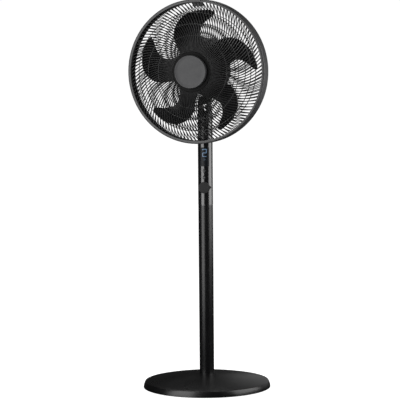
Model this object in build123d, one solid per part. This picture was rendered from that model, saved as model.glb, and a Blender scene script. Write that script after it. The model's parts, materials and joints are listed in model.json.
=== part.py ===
from build123d import *
from math import atan2, cos, degrees, hypot, log, pi, radians, sin, sqrt, tan
import os

# Pedestal fan. Millimetres. +Z is up, the fan's front is -Y, the origin is the base centre on the floor.
# The head is drawn on its own axes (x to the viewer's right, y up, z forward) and placed by HEAD.

# ---------------------------------------------------------------- overall sizes
HEAD_Z = 1007.0          # fan axis above the floor
PAN_REST = -12.3         # how far the head is turned about the column
GUARD_R = 225.0          # outside radius of the guard band
BASE_R = 203.0           # outside radius of the base
POLE_R = 23.35           # lower pole, outside
COLUMN_R = 23.6          # control column, outside
TILT_DROP = 92.0         # tilt bolt below the fan axis
YOKE_RISE = 49.0         # tilt bolt above the column's top edge
CONTROL_LENGTH = 281.0   # length of the control column
TILT_Z = HEAD_Z - TILT_DROP
COLUMN_TOP = TILT_Z - YOKE_RISE
SEAM_Z = COLUMN_TOP - CONTROL_LENGTH

# ---------------------------------------------------------------- fits and gaps
RUN = 0.05               # radial clearance of a shaft in its bearing
SEAT = 0.1               # clearance of parts that are fixed together
LOOSE = 0.3              # clearance between parts that move past each other
WALL = 2.2               # plastic wall

# ---------------------------------------------------------------- base
FOOT_H = 3.5
FOOT_INSET = 17.0                # foot ring inside the base's outline
FOOT_WIDTH = 16.0
FOOT_R = (BASE_R - FOOT_INSET - FOOT_WIDTH, BASE_R - FOOT_INSET)
PLATE_Z = (2.5, 5.5)
BALLAST_Z = (6.0, 10.0)
BALLAST_R = BASE_R - 19.0
COVER_EDGE = (BASE_R - 5.7, 21.2)    # crisp edge between the top and the rim: radius, height
COVER_MID = (110.0, 36.8)        # a point of the domed top
COVER_TOP_Z = 45.8               # height where the pole comes through
COVER_WALL = 3.0
COVER_SCREW_R = BASE_R - 53.0
COVER_SCREWS = 6
SOCKET_FLANGE_R = 44.0
SOCKET_FLANGE_T = 4.0
SOCKET_TOP = 96.0
SOCKET_SCREW_PCD_R = 34.0
POLE_WALL = 1.2
SET_SCREW_Z = 76.0
SET_SCREW_ANGLES = (65, 115)
WIRE_ENTRY_Z = 23.0              # hole for the supply wire, above the floor
GLAND_Z = 10.0
GLAND_R = 5.0
GLAND_BORE_R = 3.2

# ---------------------------------------------------------------- column
SLEEVE_Z = (SEAM_Z - 55.0, SEAM_Z + 37.0)
SLEEVE_WALL = 2.8
SLEEVE_SCREW_OFF = 22.0          # sleeve screws, each side of the seam
WINDOW_Z = (SEAM_Z + 123.5, SEAM_Z + 183.0)
WINDOW_HALF = 36.0               # degrees each side of the front
BUTTON_R = 6.2
BUTTON_Z = (SEAM_Z + 109.0, SEAM_Z + 88.0)
BUTTON_TRAVEL = 0.8
DIAL_R = 18.0
DIAL_Z = SEAM_Z + 57.0
DIAL_FACE = 19.0                 # dial face in front of the column surface
DIAL_SHAFT_R = 3.0
BOSS_R = 14.0
BOARD_Y = -11.0                  # rear face of the control board
BOARD_T = 1.6
SHELL_SCREW_X = 10.0
SHELL_SCREW_Z = (SEAM_Z + 45.0, SEAM_Z + 218.0)

# ---------------------------------------------------------------- pan drive
GEAR_M = 0.55
GEAR_N = 40
PINION_N = 16
GEAR_Z = (COLUMN_TOP - 3.9, COLUMN_TOP + 3.0)
SPINDLE_R = 8.0
SPINDLE_BORE = 5.5
SPINDLE_Z = (COLUMN_TOP - 25.0, COLUMN_TOP + 9.0)
BEARING_Z = (COLUMN_TOP - 16.0, COLUMN_TOP - 11.0)
COLLAR_Z = (COLUMN_TOP - 20.0, COLUMN_TOP - 6.0)
COLLAR_R = 11.0
OSC_R = 13.5
OSC_Z = (COLUMN_TOP - 54.0, COLUMN_TOP - 35.0)
OSC_SHIFT = 7.4
CENTRES = GEAR_M * (GEAR_N + PINION_N) / 2

# ---------------------------------------------------------------- neck and tilt
NECK_Z = (COLUMN_TOP + 1.0, COLUMN_TOP + 5.0, COLUMN_TOP + 18.0)   # skirt, plate underside, plate top
EAR_IN = 9.5
EAR_OUT = 16.5
EAR_R = 12.0
BOLT_R = 3.0
TONGUE_HALF = 8.0

# ---------------------------------------------------------------- head, along the fan axis
BAND_U = (47.0, 90.0)
BAND_WALL = 3.5
BAND_LIP = 9.0                   # radial width of the band's front and rear lips
BAND_IN = GUARD_R - BAND_LIP
WIRE_R = 1.6
WIRES = 114
RING_R = 1.2
RING_FIRST = 113.0               # innermost support ring
RING_LAST = GUARD_R - 40.0       # outermost support ring
RING_RADII = (RING_FIRST, (RING_FIRST + RING_LAST) / 2, RING_LAST)
RIM_WIRE = 2.2
RIM_R = GUARD_R - BAND_WALL - RIM_WIRE - 0.7
RIM_SEAT = 3.4 + RIM_WIRE + 0.1  # rim wire's centre inside the band's front or rear face
WIRE_END = BAND_IN - 0.9         # centre of a wire's end, just inside the band's lip
SWEEP_RIM = 40.0                 # lean of a wire at the band
HUB_R = 61.5
HUB_U = (124.0, 128.0)
CAP_R = 51.0
CAP_U = 142.0
REAR_HUB_R = 74.0
REAR_HUB_U = (2.2, 4.7)
FRONT_SHARES = ((0.0, 125.6), (0.19, 123.6), (0.45, 117.6), (0.685, 108.6), (0.92, 94.0), (1.0, 84.8))
FRONT_BENDS = (120.0, 110.0, 100.0, 36.0)
REAR_SHARES = ((0.0, 6.35), (0.135, 26.5), (0.4, 36.0), (0.655, 43.0), (0.915, 49.5), (1.0, 52.6))
REAR_BENDS = (10.0, 24.0, 90.0, 90.0, 60.0)
COVER_R = 62.0
FRONT_COVER_U = (-30.0, 0.0)
REAR_COVER_U = (-88.0, -30.4)
THREAD_R = 22.0
SHAFT_R = 4.0
SHAFT_U = (-75.0, 107.0)
STATOR_R = (27.0, 46.0)
STATOR_U = (-52.0, -28.0)
BELL_R = 49.0
BELL_WALL = 2.5
BELL_BOLT_R = 52.8
BEARING_R = 9.0
BEARING_W = 8.0
BLADES = 5
BLADE_R = GUARD_R - 33.5         # tip radius of the blades
BLADE_HUB_R = 45.0
BLADE_HUB_U = (34.0, 98.0)
LATCH_W = 38.0
LATCH_PIN = (GUARD_R - 6.3, 62.0)    # height above the fan axis, distance forward
PIN_U = 58.0
SADDLE_HOLES = ((-13.5, -40.0), (13.5, -40.0), (-13.5, -54.0), (13.5, -54.0))
COVER_HOLES = ((COVER_R - 7.0, 0.0), (-COVER_R + 7.0, 0.0), (0.0, COVER_R - 7.0))

STAND = Location((0, 0, 0))
NECK = Rot(0, 0, PAN_REST)
HEAD = Pos(0, 0, HEAD_Z) * Rot(0, 0, PAN_REST) * Rot(90, 0, 0)


# ---------------------------------------------------------------- helpers
def disc(r, z0, z1, x=0.0, y=0.0):
    """A plain cylinder along z between two heights."""
    return Pos(x, y, (z0 + z1) / 2) * Cylinder(r, z1 - z0)


def tube(r_out, r_in, z0, z1, x=0.0, y=0.0):
    """A ring along z between two heights."""
    return disc(r_out, z0, z1, x, y) - disc(r_in, z0 - 1, z1 + 1, x, y)


def block(x0, x1, y0, y1, z0, z1):
    """A box between two corners."""
    return Pos((x0 + x1) / 2, (y0 + y1) / 2, (z0 + z1) / 2) * Box(x1 - x0, y1 - y0, z1 - z0)


def rod_y(r, y0, y1, x=0.0, z=0.0):
    """A cylinder along y between two depths."""
    return Pos(x, (y0 + y1) / 2, z) * Rot(90, 0, 0) * Cylinder(r, y1 - y0)


def rod_x(r, x0, x1, y=0.0, z=0.0):
    """A cylinder along x."""
    return Pos((x0 + x1) / 2, y, z) * Rot(0, 90, 0) * Cylinder(r, x1 - x0)


def turned(points):
    """A solid of revolution about z from (radius, height) corners."""
    face = make_face(Polyline(*[(r, 0, z) for r, z in points], close=True))
    return revolve(face, Axis.Z)


def around(shape, count, start=0.0):
    """Copies of a shape spaced evenly about z."""
    return [Rot(0, 0, start + 360.0 * i / count) * shape for i in range(count)]


def save(name, shapes, place=STAND):
    """Write one node, made of one or more separate solids."""
    if not isinstance(shapes, (list, tuple)):
        shapes = [shapes]
    solids = []
    for shape in shapes:
        solids += (place * shape).solids()
    body = solids[0] if len(solids) == 1 else Compound(children=solids)
    export_step(body, f"parts/{name}.step")


def pan_screw(r_head, h_head, r, length):
    """A pan-head screw: head on z = 0, shank down."""
    head = disc(r_head, 0, h_head)
    head = fillet(head.edges().group_by(Axis.Z)[-1], h_head * 0.45)
    slot = block(-r_head * 0.62, r_head * 0.62, -0.4, 0.4, h_head * 0.55, h_head + 1)
    cross = Rot(0, 0, 90) * slot
    return head + disc(r, -length, 0) - slot - cross


# ---------------------------------------------------------------- base
def dome_z(r):
    """Height of the base's domed top at a radius, on the arc through its three set points."""
    (x1, y1), (x2, y2), (x3, y3) = (POLE_R, COVER_TOP_Z), COVER_MID, COVER_EDGE
    d = 2 * (x1 * (y2 - y3) + x2 * (y3 - y1) + x3 * (y1 - y2))
    a, b, c = x1 * x1 + y1 * y1, x2 * x2 + y2 * y2, x3 * x3 + y3 * y3
    cx = (a * (y2 - y3) + b * (y3 - y1) + c * (y1 - y2)) / d
    cy = (a * (x3 - x2) + b * (x1 - x3) + c * (x2 - x1)) / d
    radius = hypot(x1 - cx, y1 - cy)
    return cy + sqrt(radius * radius - (r - cx) ** 2)


def base_cover():
    hole = POLE_R + SEAT + 0.3
    edge_r, edge_z = COVER_EDGE
    bottom = PLATE_Z[0]
    top = ThreePointArc((hole, 0, dome_z(hole)), (COVER_MID[0], 0, COVER_MID[1]), (edge_r, 0, edge_z))
    rim = ThreePointArc((edge_r, 0, edge_z), (BASE_R - 2.0, 0, 12.5), (BASE_R, 0, bottom))
    inner_r = BASE_R - COVER_WALL
    in_edge = edge_r - COVER_WALL
    under = Line((BASE_R, 0, bottom), (inner_r, 0, bottom))
    side = Line((inner_r, 0, bottom), (in_edge, 0, edge_z - COVER_WALL))
    mid_in = (COVER_MID[0], 0, COVER_MID[1] - COVER_WALL)
    inside = ThreePointArc((in_edge, 0, edge_z - COVER_WALL), mid_in, (hole, 0, dome_z(hole) - COVER_WALL))
    close = Line((hole, 0, dome_z(hole) - COVER_WALL), (hole, 0, dome_z(hole)))
    shell = revolve(make_face(Wire([top, rim, under, side, inside, close])), Axis.Z)
    crisp = shell.edges().filter_by(GeomType.CIRCLE).filter_by(lambda e: abs(e.radius - edge_r) < 0.01)
    shell = fillet(crisp, 1.0)
    boss = disc(6.0, BALLAST_Z[1] + SEAT, dome_z(COVER_SCREW_R) - 1.5, COVER_SCREW_R)
    core = disc(1.9, BALLAST_Z[1] - 1, BALLAST_Z[1] + 13.0, COVER_SCREW_R)
    for one in around(boss, COVER_SCREWS):
        shell += one
    for one in around(core, COVER_SCREWS):
        shell -= one
    slot = rod_y(GLAND_R + SEAT, BASE_R - 20, BASE_R + 5, 0, GLAND_Z)
    return shell - slot


def base_ballast():
    plate = disc(BALLAST_R, *BALLAST_Z)
    plate = chamfer(plate.edges().group_by(Axis.Z)[-1], 1.0)
    for one in around(disc(3.0, 0, 20, COVER_SCREW_R), COVER_SCREWS):
        plate -= one
    for one in around(disc(2.5, 0, 20, SOCKET_SCREW_PCD_R), 4, 45):
        plate -= one
    return plate


def base_bottom_plate():
    plate = disc(BASE_R - COVER_WALL - 3.2, *PLATE_Z)
    plate -= tube(FOOT_R[1] + SEAT, FOOT_R[0] - SEAT, PLATE_Z[0] - 1, PLATE_Z[0] + 1.0)
    for one in around(disc(2.3, 0, 20, COVER_SCREW_R), COVER_SCREWS):
        plate -= one
    for one in around(disc(5.0, 0, PLATE_Z[0] + 1.4, COVER_SCREW_R), COVER_SCREWS):
        plate -= one
    return plate - block(-9, 9, BASE_R - 15, BASE_R + 5, 0, 10)


def foot_ring():
    ring = tube(FOOT_R[1], FOOT_R[0], 0, FOOT_H)
    return chamfer(ring.edges().group_by(Axis.Z)[0], 0.8)


def base_screws():
    screw = Pos(COVER_SCREW_R, 0, PLATE_Z[0] + 1.4) * Rot(180, 0, 0) * pan_screw(3.6, 1.3, 1.8, 17.0)
    return around(screw, COVER_SCREWS)


def pole_socket():
    z0 = BALLAST_Z[1]
    stub_r = POLE_R - POLE_WALL - SEAT
    part = disc(SOCKET_FLANGE_R, z0, z0 + SOCKET_FLANGE_T) + disc(stub_r, z0, SOCKET_TOP)
    part -= disc(stub_r - 3.4, z0 - 1, SOCKET_TOP + 1)
    for one in around(disc(2.8, 0, 30, SOCKET_SCREW_PCD_R), 4, 45):
        part -= one
    for angle in SET_SCREW_ANGLES:
        part -= Rot(0, 0, angle - 90) * rod_y(2.0, 10, 2 * POLE_R, 0, SET_SCREW_Z)
    part -= rod_y(5.0, 10, 2 * POLE_R, 0, WIRE_ENTRY_Z)
    return part


def socket_screws():
    z = BALLAST_Z[1] + SOCKET_FLANGE_T
    screw = Pos(SOCKET_SCREW_PCD_R, 0, z) * pan_screw(4.6, 2.6, 2.4, z - BALLAST_Z[0] - 0.5)
    return around(screw, 4, 45)


def lower_pole():
    z0 = BALLAST_Z[1] + SOCKET_FLANGE_T + SEAT
    part = tube(POLE_R, POLE_R - POLE_WALL, z0, SEAM_Z - 0.4)
    part = chamfer(part.edges().group_by(Axis.Z)[-1].sort_by(SortBy.RADIUS)[-1], 0.4)
    for angle in SET_SCREW_ANGLES:
        part -= Rot(0, 0, angle - 90) * rod_y(2.3, 10, 2 * POLE_R, 0, SET_SCREW_Z)
    part -= rod_y(5.0, 10, 2 * POLE_R, 0, WIRE_ENTRY_Z)
    part -= rod_y(2.0, 10, 2 * POLE_R, 0, SEAM_Z - SLEEVE_SCREW_OFF)
    return part


def pole_set_screws():
    screw = Pos(0, POLE_R, SET_SCREW_Z) * Rot(-90, 0, 0) * pan_screw(3.4, 1.5, 1.8, 4.2)
    return [Rot(0, 0, angle - 90) * screw for angle in SET_SCREW_ANGLES]


def cord_gland():
    y = BASE_R
    part = rod_y(GLAND_R, y - 12, y + 2, 0, GLAND_Z) + rod_y(GLAND_R + 1.6, y - 12, y - 9, 0, GLAND_Z)
    part += rod_y(GLAND_R + 1.2, y + 1.0, y + 3.0, 0, GLAND_Z)
    return part - rod_y(GLAND_BORE_R, y - 20, y + 10, 0, GLAND_Z)


def terminal_block():
    y = BASE_R - 50
    z = BALLAST_Z[1]
    part = block(-15, 15, y - 8, y + 8, z + SEAT, z + 10)
    for x in (-8, 8):
        part -= disc(2.6, z + 5, z + 20, x, y)
    return part


def supply_wire():
    y = BASE_R - 59
    z = WIRE_ENTRY_Z
    path = FilletPolyline((0, y, z), (0, 0, z), (0, 0, DIAL_Z + 4), radius=9)
    return sweep(Plane(path @ 0, z_dir=path % 0) * Circle(2.4), path=path)


# ---------------------------------------------------------------- column
def joint_sleeve():
    low_r = POLE_R - POLE_WALL - SEAT
    high_r = COLUMN_R - WALL - SEAT
    part = disc(low_r, SLEEVE_Z[0], SEAM_Z - 0.4) + disc(high_r, SEAM_Z - 1, SLEEVE_Z[1])
    part -= disc(min(low_r, high_r) - SLEEVE_WALL, SLEEVE_Z[0] - 1, SLEEVE_Z[1] + 1)
    part -= rod_y(1.6, 10, 2 * POLE_R, 0, SEAM_Z - SLEEVE_SCREW_OFF)
    part -= rod_y(1.6, 10, 2 * COLUMN_R, 0, SEAM_Z + SLEEVE_SCREW_OFF)
    return part


def sleeve_screws():
    low = Pos(0, POLE_R, SEAM_Z - SLEEVE_SCREW_OFF) * Rot(-90, 0, 0) * pan_screw(3.2, 1.6, 1.5, 5.6)
    high = Pos(0, COLUMN_R, SEAM_Z + SLEEVE_SCREW_OFF) * Rot(-90, 0, 0) * pan_screw(3.2, 1.6, 1.5, 6.4)
    return [low, high]


def column_shell():
    """The whole control column before it is split into front and rear."""
    z0 = SEAM_Z + 0.4
    part = disc(COLUMN_R, z0, COLUMN_TOP)
    part = chamfer(part.edges().group_by(Axis.Z)[0], 0.4)
    part = fillet(part.edges().group_by(Axis.Z)[-1], 0.8)
    part -= disc(COLUMN_R - WALL, z0 - 1, COLUMN_TOP + 1)
    part += tube(COLUMN_R - 1, COLUMN_R - WALL - 1.9, BEARING_Z[0] - 4, BEARING_Z[0] - SEAT)
    part += tube(COLUMN_R - 1, COLUMN_R - WALL - 0.9, BEARING_Z[1] + SEAT, BEARING_Z[1] + 2)
    return part


def column_front():
    part = column_shell() & block(-40, 40, -40, 0, SEAM_Z, COLUMN_TOP)
    inner = COLUMN_R - WALL
    face = COLUMN_R + DIAL_FACE
    for x in (-SHELL_SCREW_X, SHELL_SCREW_X):
        for z in SHELL_SCREW_Z:
            reach = sqrt(inner**2 - SHELL_SCREW_X**2)
            part += rod_y(3.4, -reach - 0.8, -1.0, x, z)
            part -= rod_y(1.3, -reach + 4, 0, x, z)
    part += rod_y(BOSS_R, -COLUMN_R - 4.5, -inner + 1.5, 0, DIAL_Z)
    part -= disc(inner, DIAL_Z - 20, DIAL_Z + 20) & block(-40, 40, -40, 0, DIAL_Z - 20, DIAL_Z + 20)
    part -= rod_y(DIAL_SHAFT_R + 1.5 + SEAT, -face, 0, 0, DIAL_Z)
    for z in BUTTON_Z:
        part -= rod_y(BUTTON_R + LOOSE, -40, -10, 0, z)
    part -= window_space(0.0, SEAT)
    part -= window_space(1.6, -2.0)
    return part


def window_space(depth, grow):
    """The space the display window sits in, from the surface inwards."""
    r_out = COLUMN_R + 1 if depth == 0 else COLUMN_R - depth + 0.5
    r_in = COLUMN_R - 1.6 if depth == 0 else COLUMN_R - WALL - 1
    return wrapped(r_out, r_in, grow)


def wrapped(r_out, r_in, grow):
    """A curved plate on the column's front, the size of the window plus a margin."""
    half = radians(WINDOW_HALF) + grow / COLUMN_R
    reach = 2 * COLUMN_R
    wedge = make_face(Polyline((0, 0), (-reach * tan(half), -reach), (reach * tan(half), -reach), close=True))
    wedge = extrude(Pos(0, 0, WINDOW_Z[0] - grow) * wedge, WINDOW_Z[1] - WINDOW_Z[0] + 2 * grow)
    return tube(r_out, r_in, WINDOW_Z[0] - grow, WINDOW_Z[1] + grow) & wedge


def column_rear():
    part = column_shell() & block(-40, 40, 0, 40, SEAM_Z, COLUMN_TOP)
    inner = COLUMN_R - WALL
    for x in (-SHELL_SCREW_X, SHELL_SCREW_X):
        for z in SHELL_SCREW_Z:
            reach = sqrt(inner**2 - SHELL_SCREW_X**2)
            part += rod_y(3.4, -0.8, reach + 0.8, x, z)
            part -= rod_y(3.0, reach - 2.5, 40, x, z)
            part -= rod_y(1.6, -10, 40, x, z)
    part -= rod_y(2.0, 10, 2 * COLUMN_R, 0, SEAM_Z + SLEEVE_SCREW_OFF)
    return part


def shell_screws():
    reach = sqrt((COLUMN_R - WALL) ** 2 - SHELL_SCREW_X**2)
    screw = Pos(0, reach - 2.5, 0) * Rot(-90, 0, 0) * pan_screw(2.6, 1.5, 1.2, reach + 7.5)
    return [Pos(x, 0, z) * screw for x in (-SHELL_SCREW_X, SHELL_SCREW_X) for z in SHELL_SCREW_Z]


def display_window():
    return wrapped(COLUMN_R, COLUMN_R - 1.6, 0.0)


def display_module():
    """The lit numeral block and its icon lamps, behind the window."""
    y = -COLUMN_R + 1.6 + 3.6
    mid = (WINDOW_Z[0] + WINDOW_Z[1]) / 2
    part = block(-9.5, 9.5, y, BOARD_Y - BOARD_T - SEAT, mid - 25, mid + 28)
    return part


def control_board():
    part = block(-14.5, 14.5, BOARD_Y - BOARD_T, BOARD_Y, DIAL_Z - 4 + 1, SHELL_SCREW_Z[1] - 8)
    part -= rod_y(4.6, -30, 0, 0, DIAL_Z)
    return part


def tact_switches():
    top = -(COLUMN_R - WALL) + 1.7 + BUTTON_TRAVEL + 0.1
    parts = []
    for z in BUTTON_Z:
        body = block(-3.1, 3.1, top + 1.2, BOARD_Y - BOARD_T - SEAT, z - 3.1, z + 3.1)
        parts.append(body + rod_y(1.7, top, top + 1.4, 0, z))
    return parts


def button(z):
    """A round key that follows the column's surface, with a lip behind the wall."""
    inner = COLUMN_R - WALL
    lip_back = -inner + 1.7
    stem = rod_y(BUTTON_R, -COLUMN_R - 2, lip_back, 0, z)
    lip = rod_y(BUTTON_R + 1.6, -inner - 2, lip_back, 0, z)
    skin = disc(COLUMN_R + 0.35, z - 10, z + 10)
    behind = disc(inner - LOOSE, z - 12, z + 12)
    return (stem & skin) + (lip & behind)


def dial_encoder():
    y = BOARD_Y - BOARD_T
    front = -COLUMN_R - 3.0
    part = block(-6.5, 6.5, y - 5.0, y - SEAT, DIAL_Z - 6.5, DIAL_Z + 6.5)
    part += rod_y(DIAL_SHAFT_R + 1.5, front, y - 4.9, 0, DIAL_Z)
    return part - rod_y(DIAL_SHAFT_R + RUN, front - 1, BOARD_Y + 1, 0, DIAL_Z)


def dial_shaft():
    y = BOARD_Y - BOARD_T
    return rod_y(DIAL_SHAFT_R, -COLUMN_R - DIAL_FACE + 4.0, y - 0.5, 0, DIAL_Z)


def dial():
    """The selector: a flat round knob with a small pointer lug at its side."""
    face = -COLUMN_R - DIAL_FACE
    back = -COLUMN_R - 5.0
    part = rod_y(DIAL_R, face, face + 9.0, 0, DIAL_Z)
    part += rod_y(DIAL_R - 2.0, face + 8.0, back, 0, DIAL_Z)
    lug = make_face(Polyline((DIAL_R - 4, -4.4), (DIAL_R + 3.9, -2.2), (DIAL_R + 3.9, 3.4), (DIAL_R - 4, 6.2), close=True))
    lug = extrude(lug, 9.0)
    lug = fillet(lug.edges().filter_by(Axis.Z).sort_by(Axis.X)[-2:], 2.2)
    part += Pos(0, face + 9.0, DIAL_Z) * Rot(90, 0, 0) * lug
    rim = part.edges().filter_by(lambda e: abs(e.center().Y - face) < 0.01 and e.bounding_box().size.Y < 0.01)
    part = fillet(rim, 0.9)
    part -= rod_y(BOSS_R + LOOSE, face + 12.0, back + 1, 0, DIAL_Z)
    part -= rod_y(DIAL_SHAFT_R, face + 4.0, back + 1, 0, DIAL_Z)
    return part


def pan_bearing_plate():
    part = disc(COLUMN_R - WALL - SEAT, *BEARING_Z) + disc(COLLAR_R, *COLLAR_Z)
    part -= disc(SPINDLE_R + RUN, COLLAR_Z[0] - 1, COLLAR_Z[1] + 1)
    part -= disc(2.5 + RUN, COLLAR_Z[0] - 1, COLLAR_Z[1] + 1, 0, CENTRES)
    part -= disc(4.2, BEARING_Z[1] + 0.01, COLLAR_Z[1] + 1, 0, CENTRES)
    return part


def thrust_washer():
    return tube(COLLAR_R - 0.2, SPINDLE_R + 0.4, COLLAR_Z[1], COLLAR_Z[1] + 2.0)


def osc_motor():
    part = disc(OSC_R, *OSC_Z, 0, OSC_SHIFT)
    part += block(-18.0, 18.0, OSC_SHIFT - 3.0, OSC_SHIFT + 3.0, OSC_Z[1] - 1.5, OSC_Z[1])
    part += disc(4.2, OSC_Z[1] - 1, OSC_Z[1] + 1.5, 0, CENTRES)
    part -= disc(2.5 + RUN, OSC_Z[1] - 12, OSC_Z[1] + 3, 0, CENTRES)
    return part


def osc_standoffs():
    return [disc(2.1, OSC_Z[1], BEARING_Z[0], x, OSC_SHIFT) for x in (-15.6, 15.6)]


# ---------------------------------------------------------------- pan drive gears
def gear_face(teeth, phase):
    """A plain involute spur outline: one tooth centred on the phase angle."""
    pitch = GEAR_M * teeth / 2
    base = pitch * cos(radians(25))
    tip = pitch + 0.75 * GEAR_M
    root = pitch - 1.05 * GEAR_M
    half = pi / (2 * teeth) - 0.07 / pitch

    def involute(r):
        ratio = max(r / base, 1.0)
        alpha = sqrt(ratio * ratio - 1)
        return alpha - atan2(alpha, 1)

    at_pitch = involute(pitch)
    points = []
    for k in range(teeth):
        mid = radians(phase) + 2 * pi * k / teeth
        low = max(root + 0.05, base)
        radii = [root, low, pitch, tip]
        left = [(r, mid - half - at_pitch + involute(r)) for r in radii]
        right = [(r, mid + half + at_pitch - involute(r)) for r in reversed(radii)]
        points += left + right
    return make_face(Polyline(*[(r * cos(a), r * sin(a)) for r, a in points], close=True))


def pan_gear():
    part = extrude(Pos(0, 0, GEAR_Z[0]) * gear_face(GEAR_N, 90 - PAN_REST), GEAR_Z[1] - GEAR_Z[0])
    part += disc(10.2, GEAR_Z[1] - 1, NECK_Z[1])
    return part - disc(SPINDLE_R, GEAR_Z[0] - 1, NECK_Z[1] + 1)


def osc_pinion():
    phase = -90 + 180.0 / PINION_N
    part = extrude(Pos(0, CENTRES, GEAR_Z[0]) * gear_face(PINION_N, phase), GEAR_Z[1] - GEAR_Z[0])
    return part + disc(2.5, OSC_Z[1] - 8, GEAR_Z[0] + 1, 0, CENTRES)


# ---------------------------------------------------------------- neck (turns with the head)
def pan_spindle():
    part = tube(SPINDLE_R, SPINDLE_BORE, *SPINDLE_Z)
    return part - tube(SPINDLE_R + 1, SPINDLE_R - 0.8, SPINDLE_Z[0] + 1.4, SPINDLE_Z[0] + 2.6)


def spindle_ring():
    z = SPINDLE_Z[0] + 1.5
    ring = tube(SPINDLE_R + 2.4, SPINDLE_R - 0.7, z, z + 1.0)
    return ring - block(-2.5, 2.5, 0, 20, z - 1, z + 2)


def pan_washer():
    z = SPINDLE_Z[0] + 2.6
    return tube(SPINDLE_R + 2.6, SPINDLE_R + 0.1, z, COLLAR_Z[0] - 0.2)


def neck_yoke():
    skirt, under, top = NECK_Z
    part = disc(COLUMN_R, skirt, top)
    part = fillet(part.edges().group_by(Axis.Z)[0], 0.6)
    part = fillet(part.edges().group_by(Axis.Z)[-1], 3.0)
    part -= disc(COLUMN_R - WALL, skirt - 1, under)
    part -= disc(SPINDLE_BORE, skirt - 1, top + 1)
    part -= disc(SPINDLE_R, skirt - 1, SPINDLE_Z[1])
    half = 19.0
    slope = Polyline((-half, top - 3.5), (half, top - 3.5), (EAR_R, TILT_Z), (-EAR_R, TILT_Z), close=True)
    ear = extrude(Plane.YZ * (make_face(slope) + Pos(0, TILT_Z) * Circle(EAR_R)), EAR_OUT - EAR_IN)
    ears = Pos(EAR_IN, 0, 0) * ear + Pos(-EAR_OUT, 0, 0) * ear
    ears = ears & disc(COLUMN_R - 0.4, top - 4, TILT_Z + EAR_R + 1)
    part += ears
    part -= rod_x(BOLT_R + SEAT, -30, 30, 0, TILT_Z)
    return part


def tilt_bolt():
    part = rod_x(BOLT_R, -EAR_OUT, EAR_OUT + 7.0, 0, TILT_Z)
    head = rod_x(6.0, -EAR_OUT - 4.0, -EAR_OUT, 0, TILT_Z)
    return part + fillet(head.edges().group_by(Axis.X)[0], 1.5)


def tilt_nut():
    hexagon = extrude(RegularPolygon(6.0, 6), 5.0)
    part = Pos(EAR_OUT, 0, TILT_Z) * Rot(0, 90, 0) * hexagon
    return part - rod_x(BOLT_R, -30, 40, 0, TILT_Z)


def tilt_washers():
    thick = EAR_IN - TONGUE_HALF - LOOSE
    parts = []
    for sign in (-1, 1):
        outer = sign * EAR_IN
        inner = sign * (EAR_IN - thick)
        ring = rod_x(EAR_R - 2, min(outer, inner), max(outer, inner), 0, TILT_Z)
        parts.append(ring - rod_x(BOLT_R, -40, 40, 0, TILT_Z))
    return parts


# ---------------------------------------------------------------- head: motor and housing
def tilt_bracket():
    """Tongue on the tilt bolt and the saddle that carries the motor housing."""
    drop = TILT_Z - HEAD_Z
    low = drop + 21.0
    round_r = EAR_R - 0.5
    sides = Polyline((-26.0, low + 1), (-1.5, low + 1), (round_r, drop), (-round_r, drop), close=True)
    tongue = extrude(make_face(sides) + Pos(0, drop) * Circle(round_r), 2 * TONGUE_HALF)
    tongue = Pos(TONGUE_HALF, 0, 0) * Rot(0, -90, 0) * tongue
    saddle = block(-19, 19, low, -COVER_R * 0.86, -62, -1.5)
    saddle = fillet(saddle.edges().filter_by(Axis.Z).sort_by(Axis.Y)[:2], 3.0)
    part = tongue + saddle - disc(COVER_R + 0.25, -100, 20)
    part -= rod_x(BOLT_R + RUN, -30, 30, drop, 0)
    for x, u in SADDLE_HOLES:
        part -= rod_y(2.2, -80, -40, x, u)
    return part


def bracket_screws():
    low = TILT_Z - HEAD_Z + 21.0
    screw = Rot(90, 0, 0) * pan_screw(3.6, 2.0, 1.6, 16.5)
    return [Pos(x, low, u) * screw for x, u in SADDLE_HOLES]


def motor_front_cover():
    back, front = FRONT_COVER_U
    part = disc(COVER_R, back, front)
    part = fillet(part.edges().group_by(Axis.Z)[-1], 4.0)
    part -= disc(COVER_R - 2.5, back - 1, front - 2.5)
    part += disc(THREAD_R, front - 2.5, front + 14.5)
    ear = disc(4.2, STATOR_U[1] + SEAT, front - 1, BELL_BOLT_R)
    ear -= disc(BELL_R + 0.2, back - 1, STATOR_U[1] + 18.0)
    for one in around(ear, 4, 45):
        part += one
    for one in around(disc(4.0, back, front - 1, COVER_R - 7.0), 2) + [disc(4.0, back, front - 1, 0, COVER_R - 7.0)]:
        part += one
    part -= disc(14.2, back - 1, front + 20)
    for one in around(disc(1.5, back - 1, front - 6, BELL_BOLT_R), 4, 45):
        part -= one
    for x, y in COVER_HOLES:
        part -= disc(1.4, back - 1, front - 6, x, y)
    return part


def motor_rear_cover():
    back, front = REAR_COVER_U
    outside = disc(COVER_R, back, front)
    outside = fillet(outside.edges().group_by(Axis.Z)[0], 15.0)
    inside = disc(COVER_R - 2.5, back + 2.5, front + 1)
    inside = fillet(inside.edges().group_by(Axis.Z)[0], 12.5)
    part = outside - inside
    wells = [disc(4.2, back, front, x, y) for x, y in COVER_HOLES]
    for one in wells:
        part += one & outside
    for x, u in SADDLE_HOLES:
        part += rod_y(4.2, -COVER_R - 1.0, -COVER_R + 10.5, x, u) & outside
        part -= rod_y(1.65, -COVER_R - 1.0, -COVER_R + 9.5, x, u)
    for x, y in COVER_HOLES:
        part -= disc(1.8, back - 1, front + 1, x, y)
        part -= disc(3.2, back - 1, front - 20, x, y)
    slot = block(22, 42, -1.6, 1.6, back - 1, back + 4)
    slot = fillet(slot.edges().filter_by(Axis.Z), 1.5)
    for one in around(slot, 14, 6):
        part -= one
    return part


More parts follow.
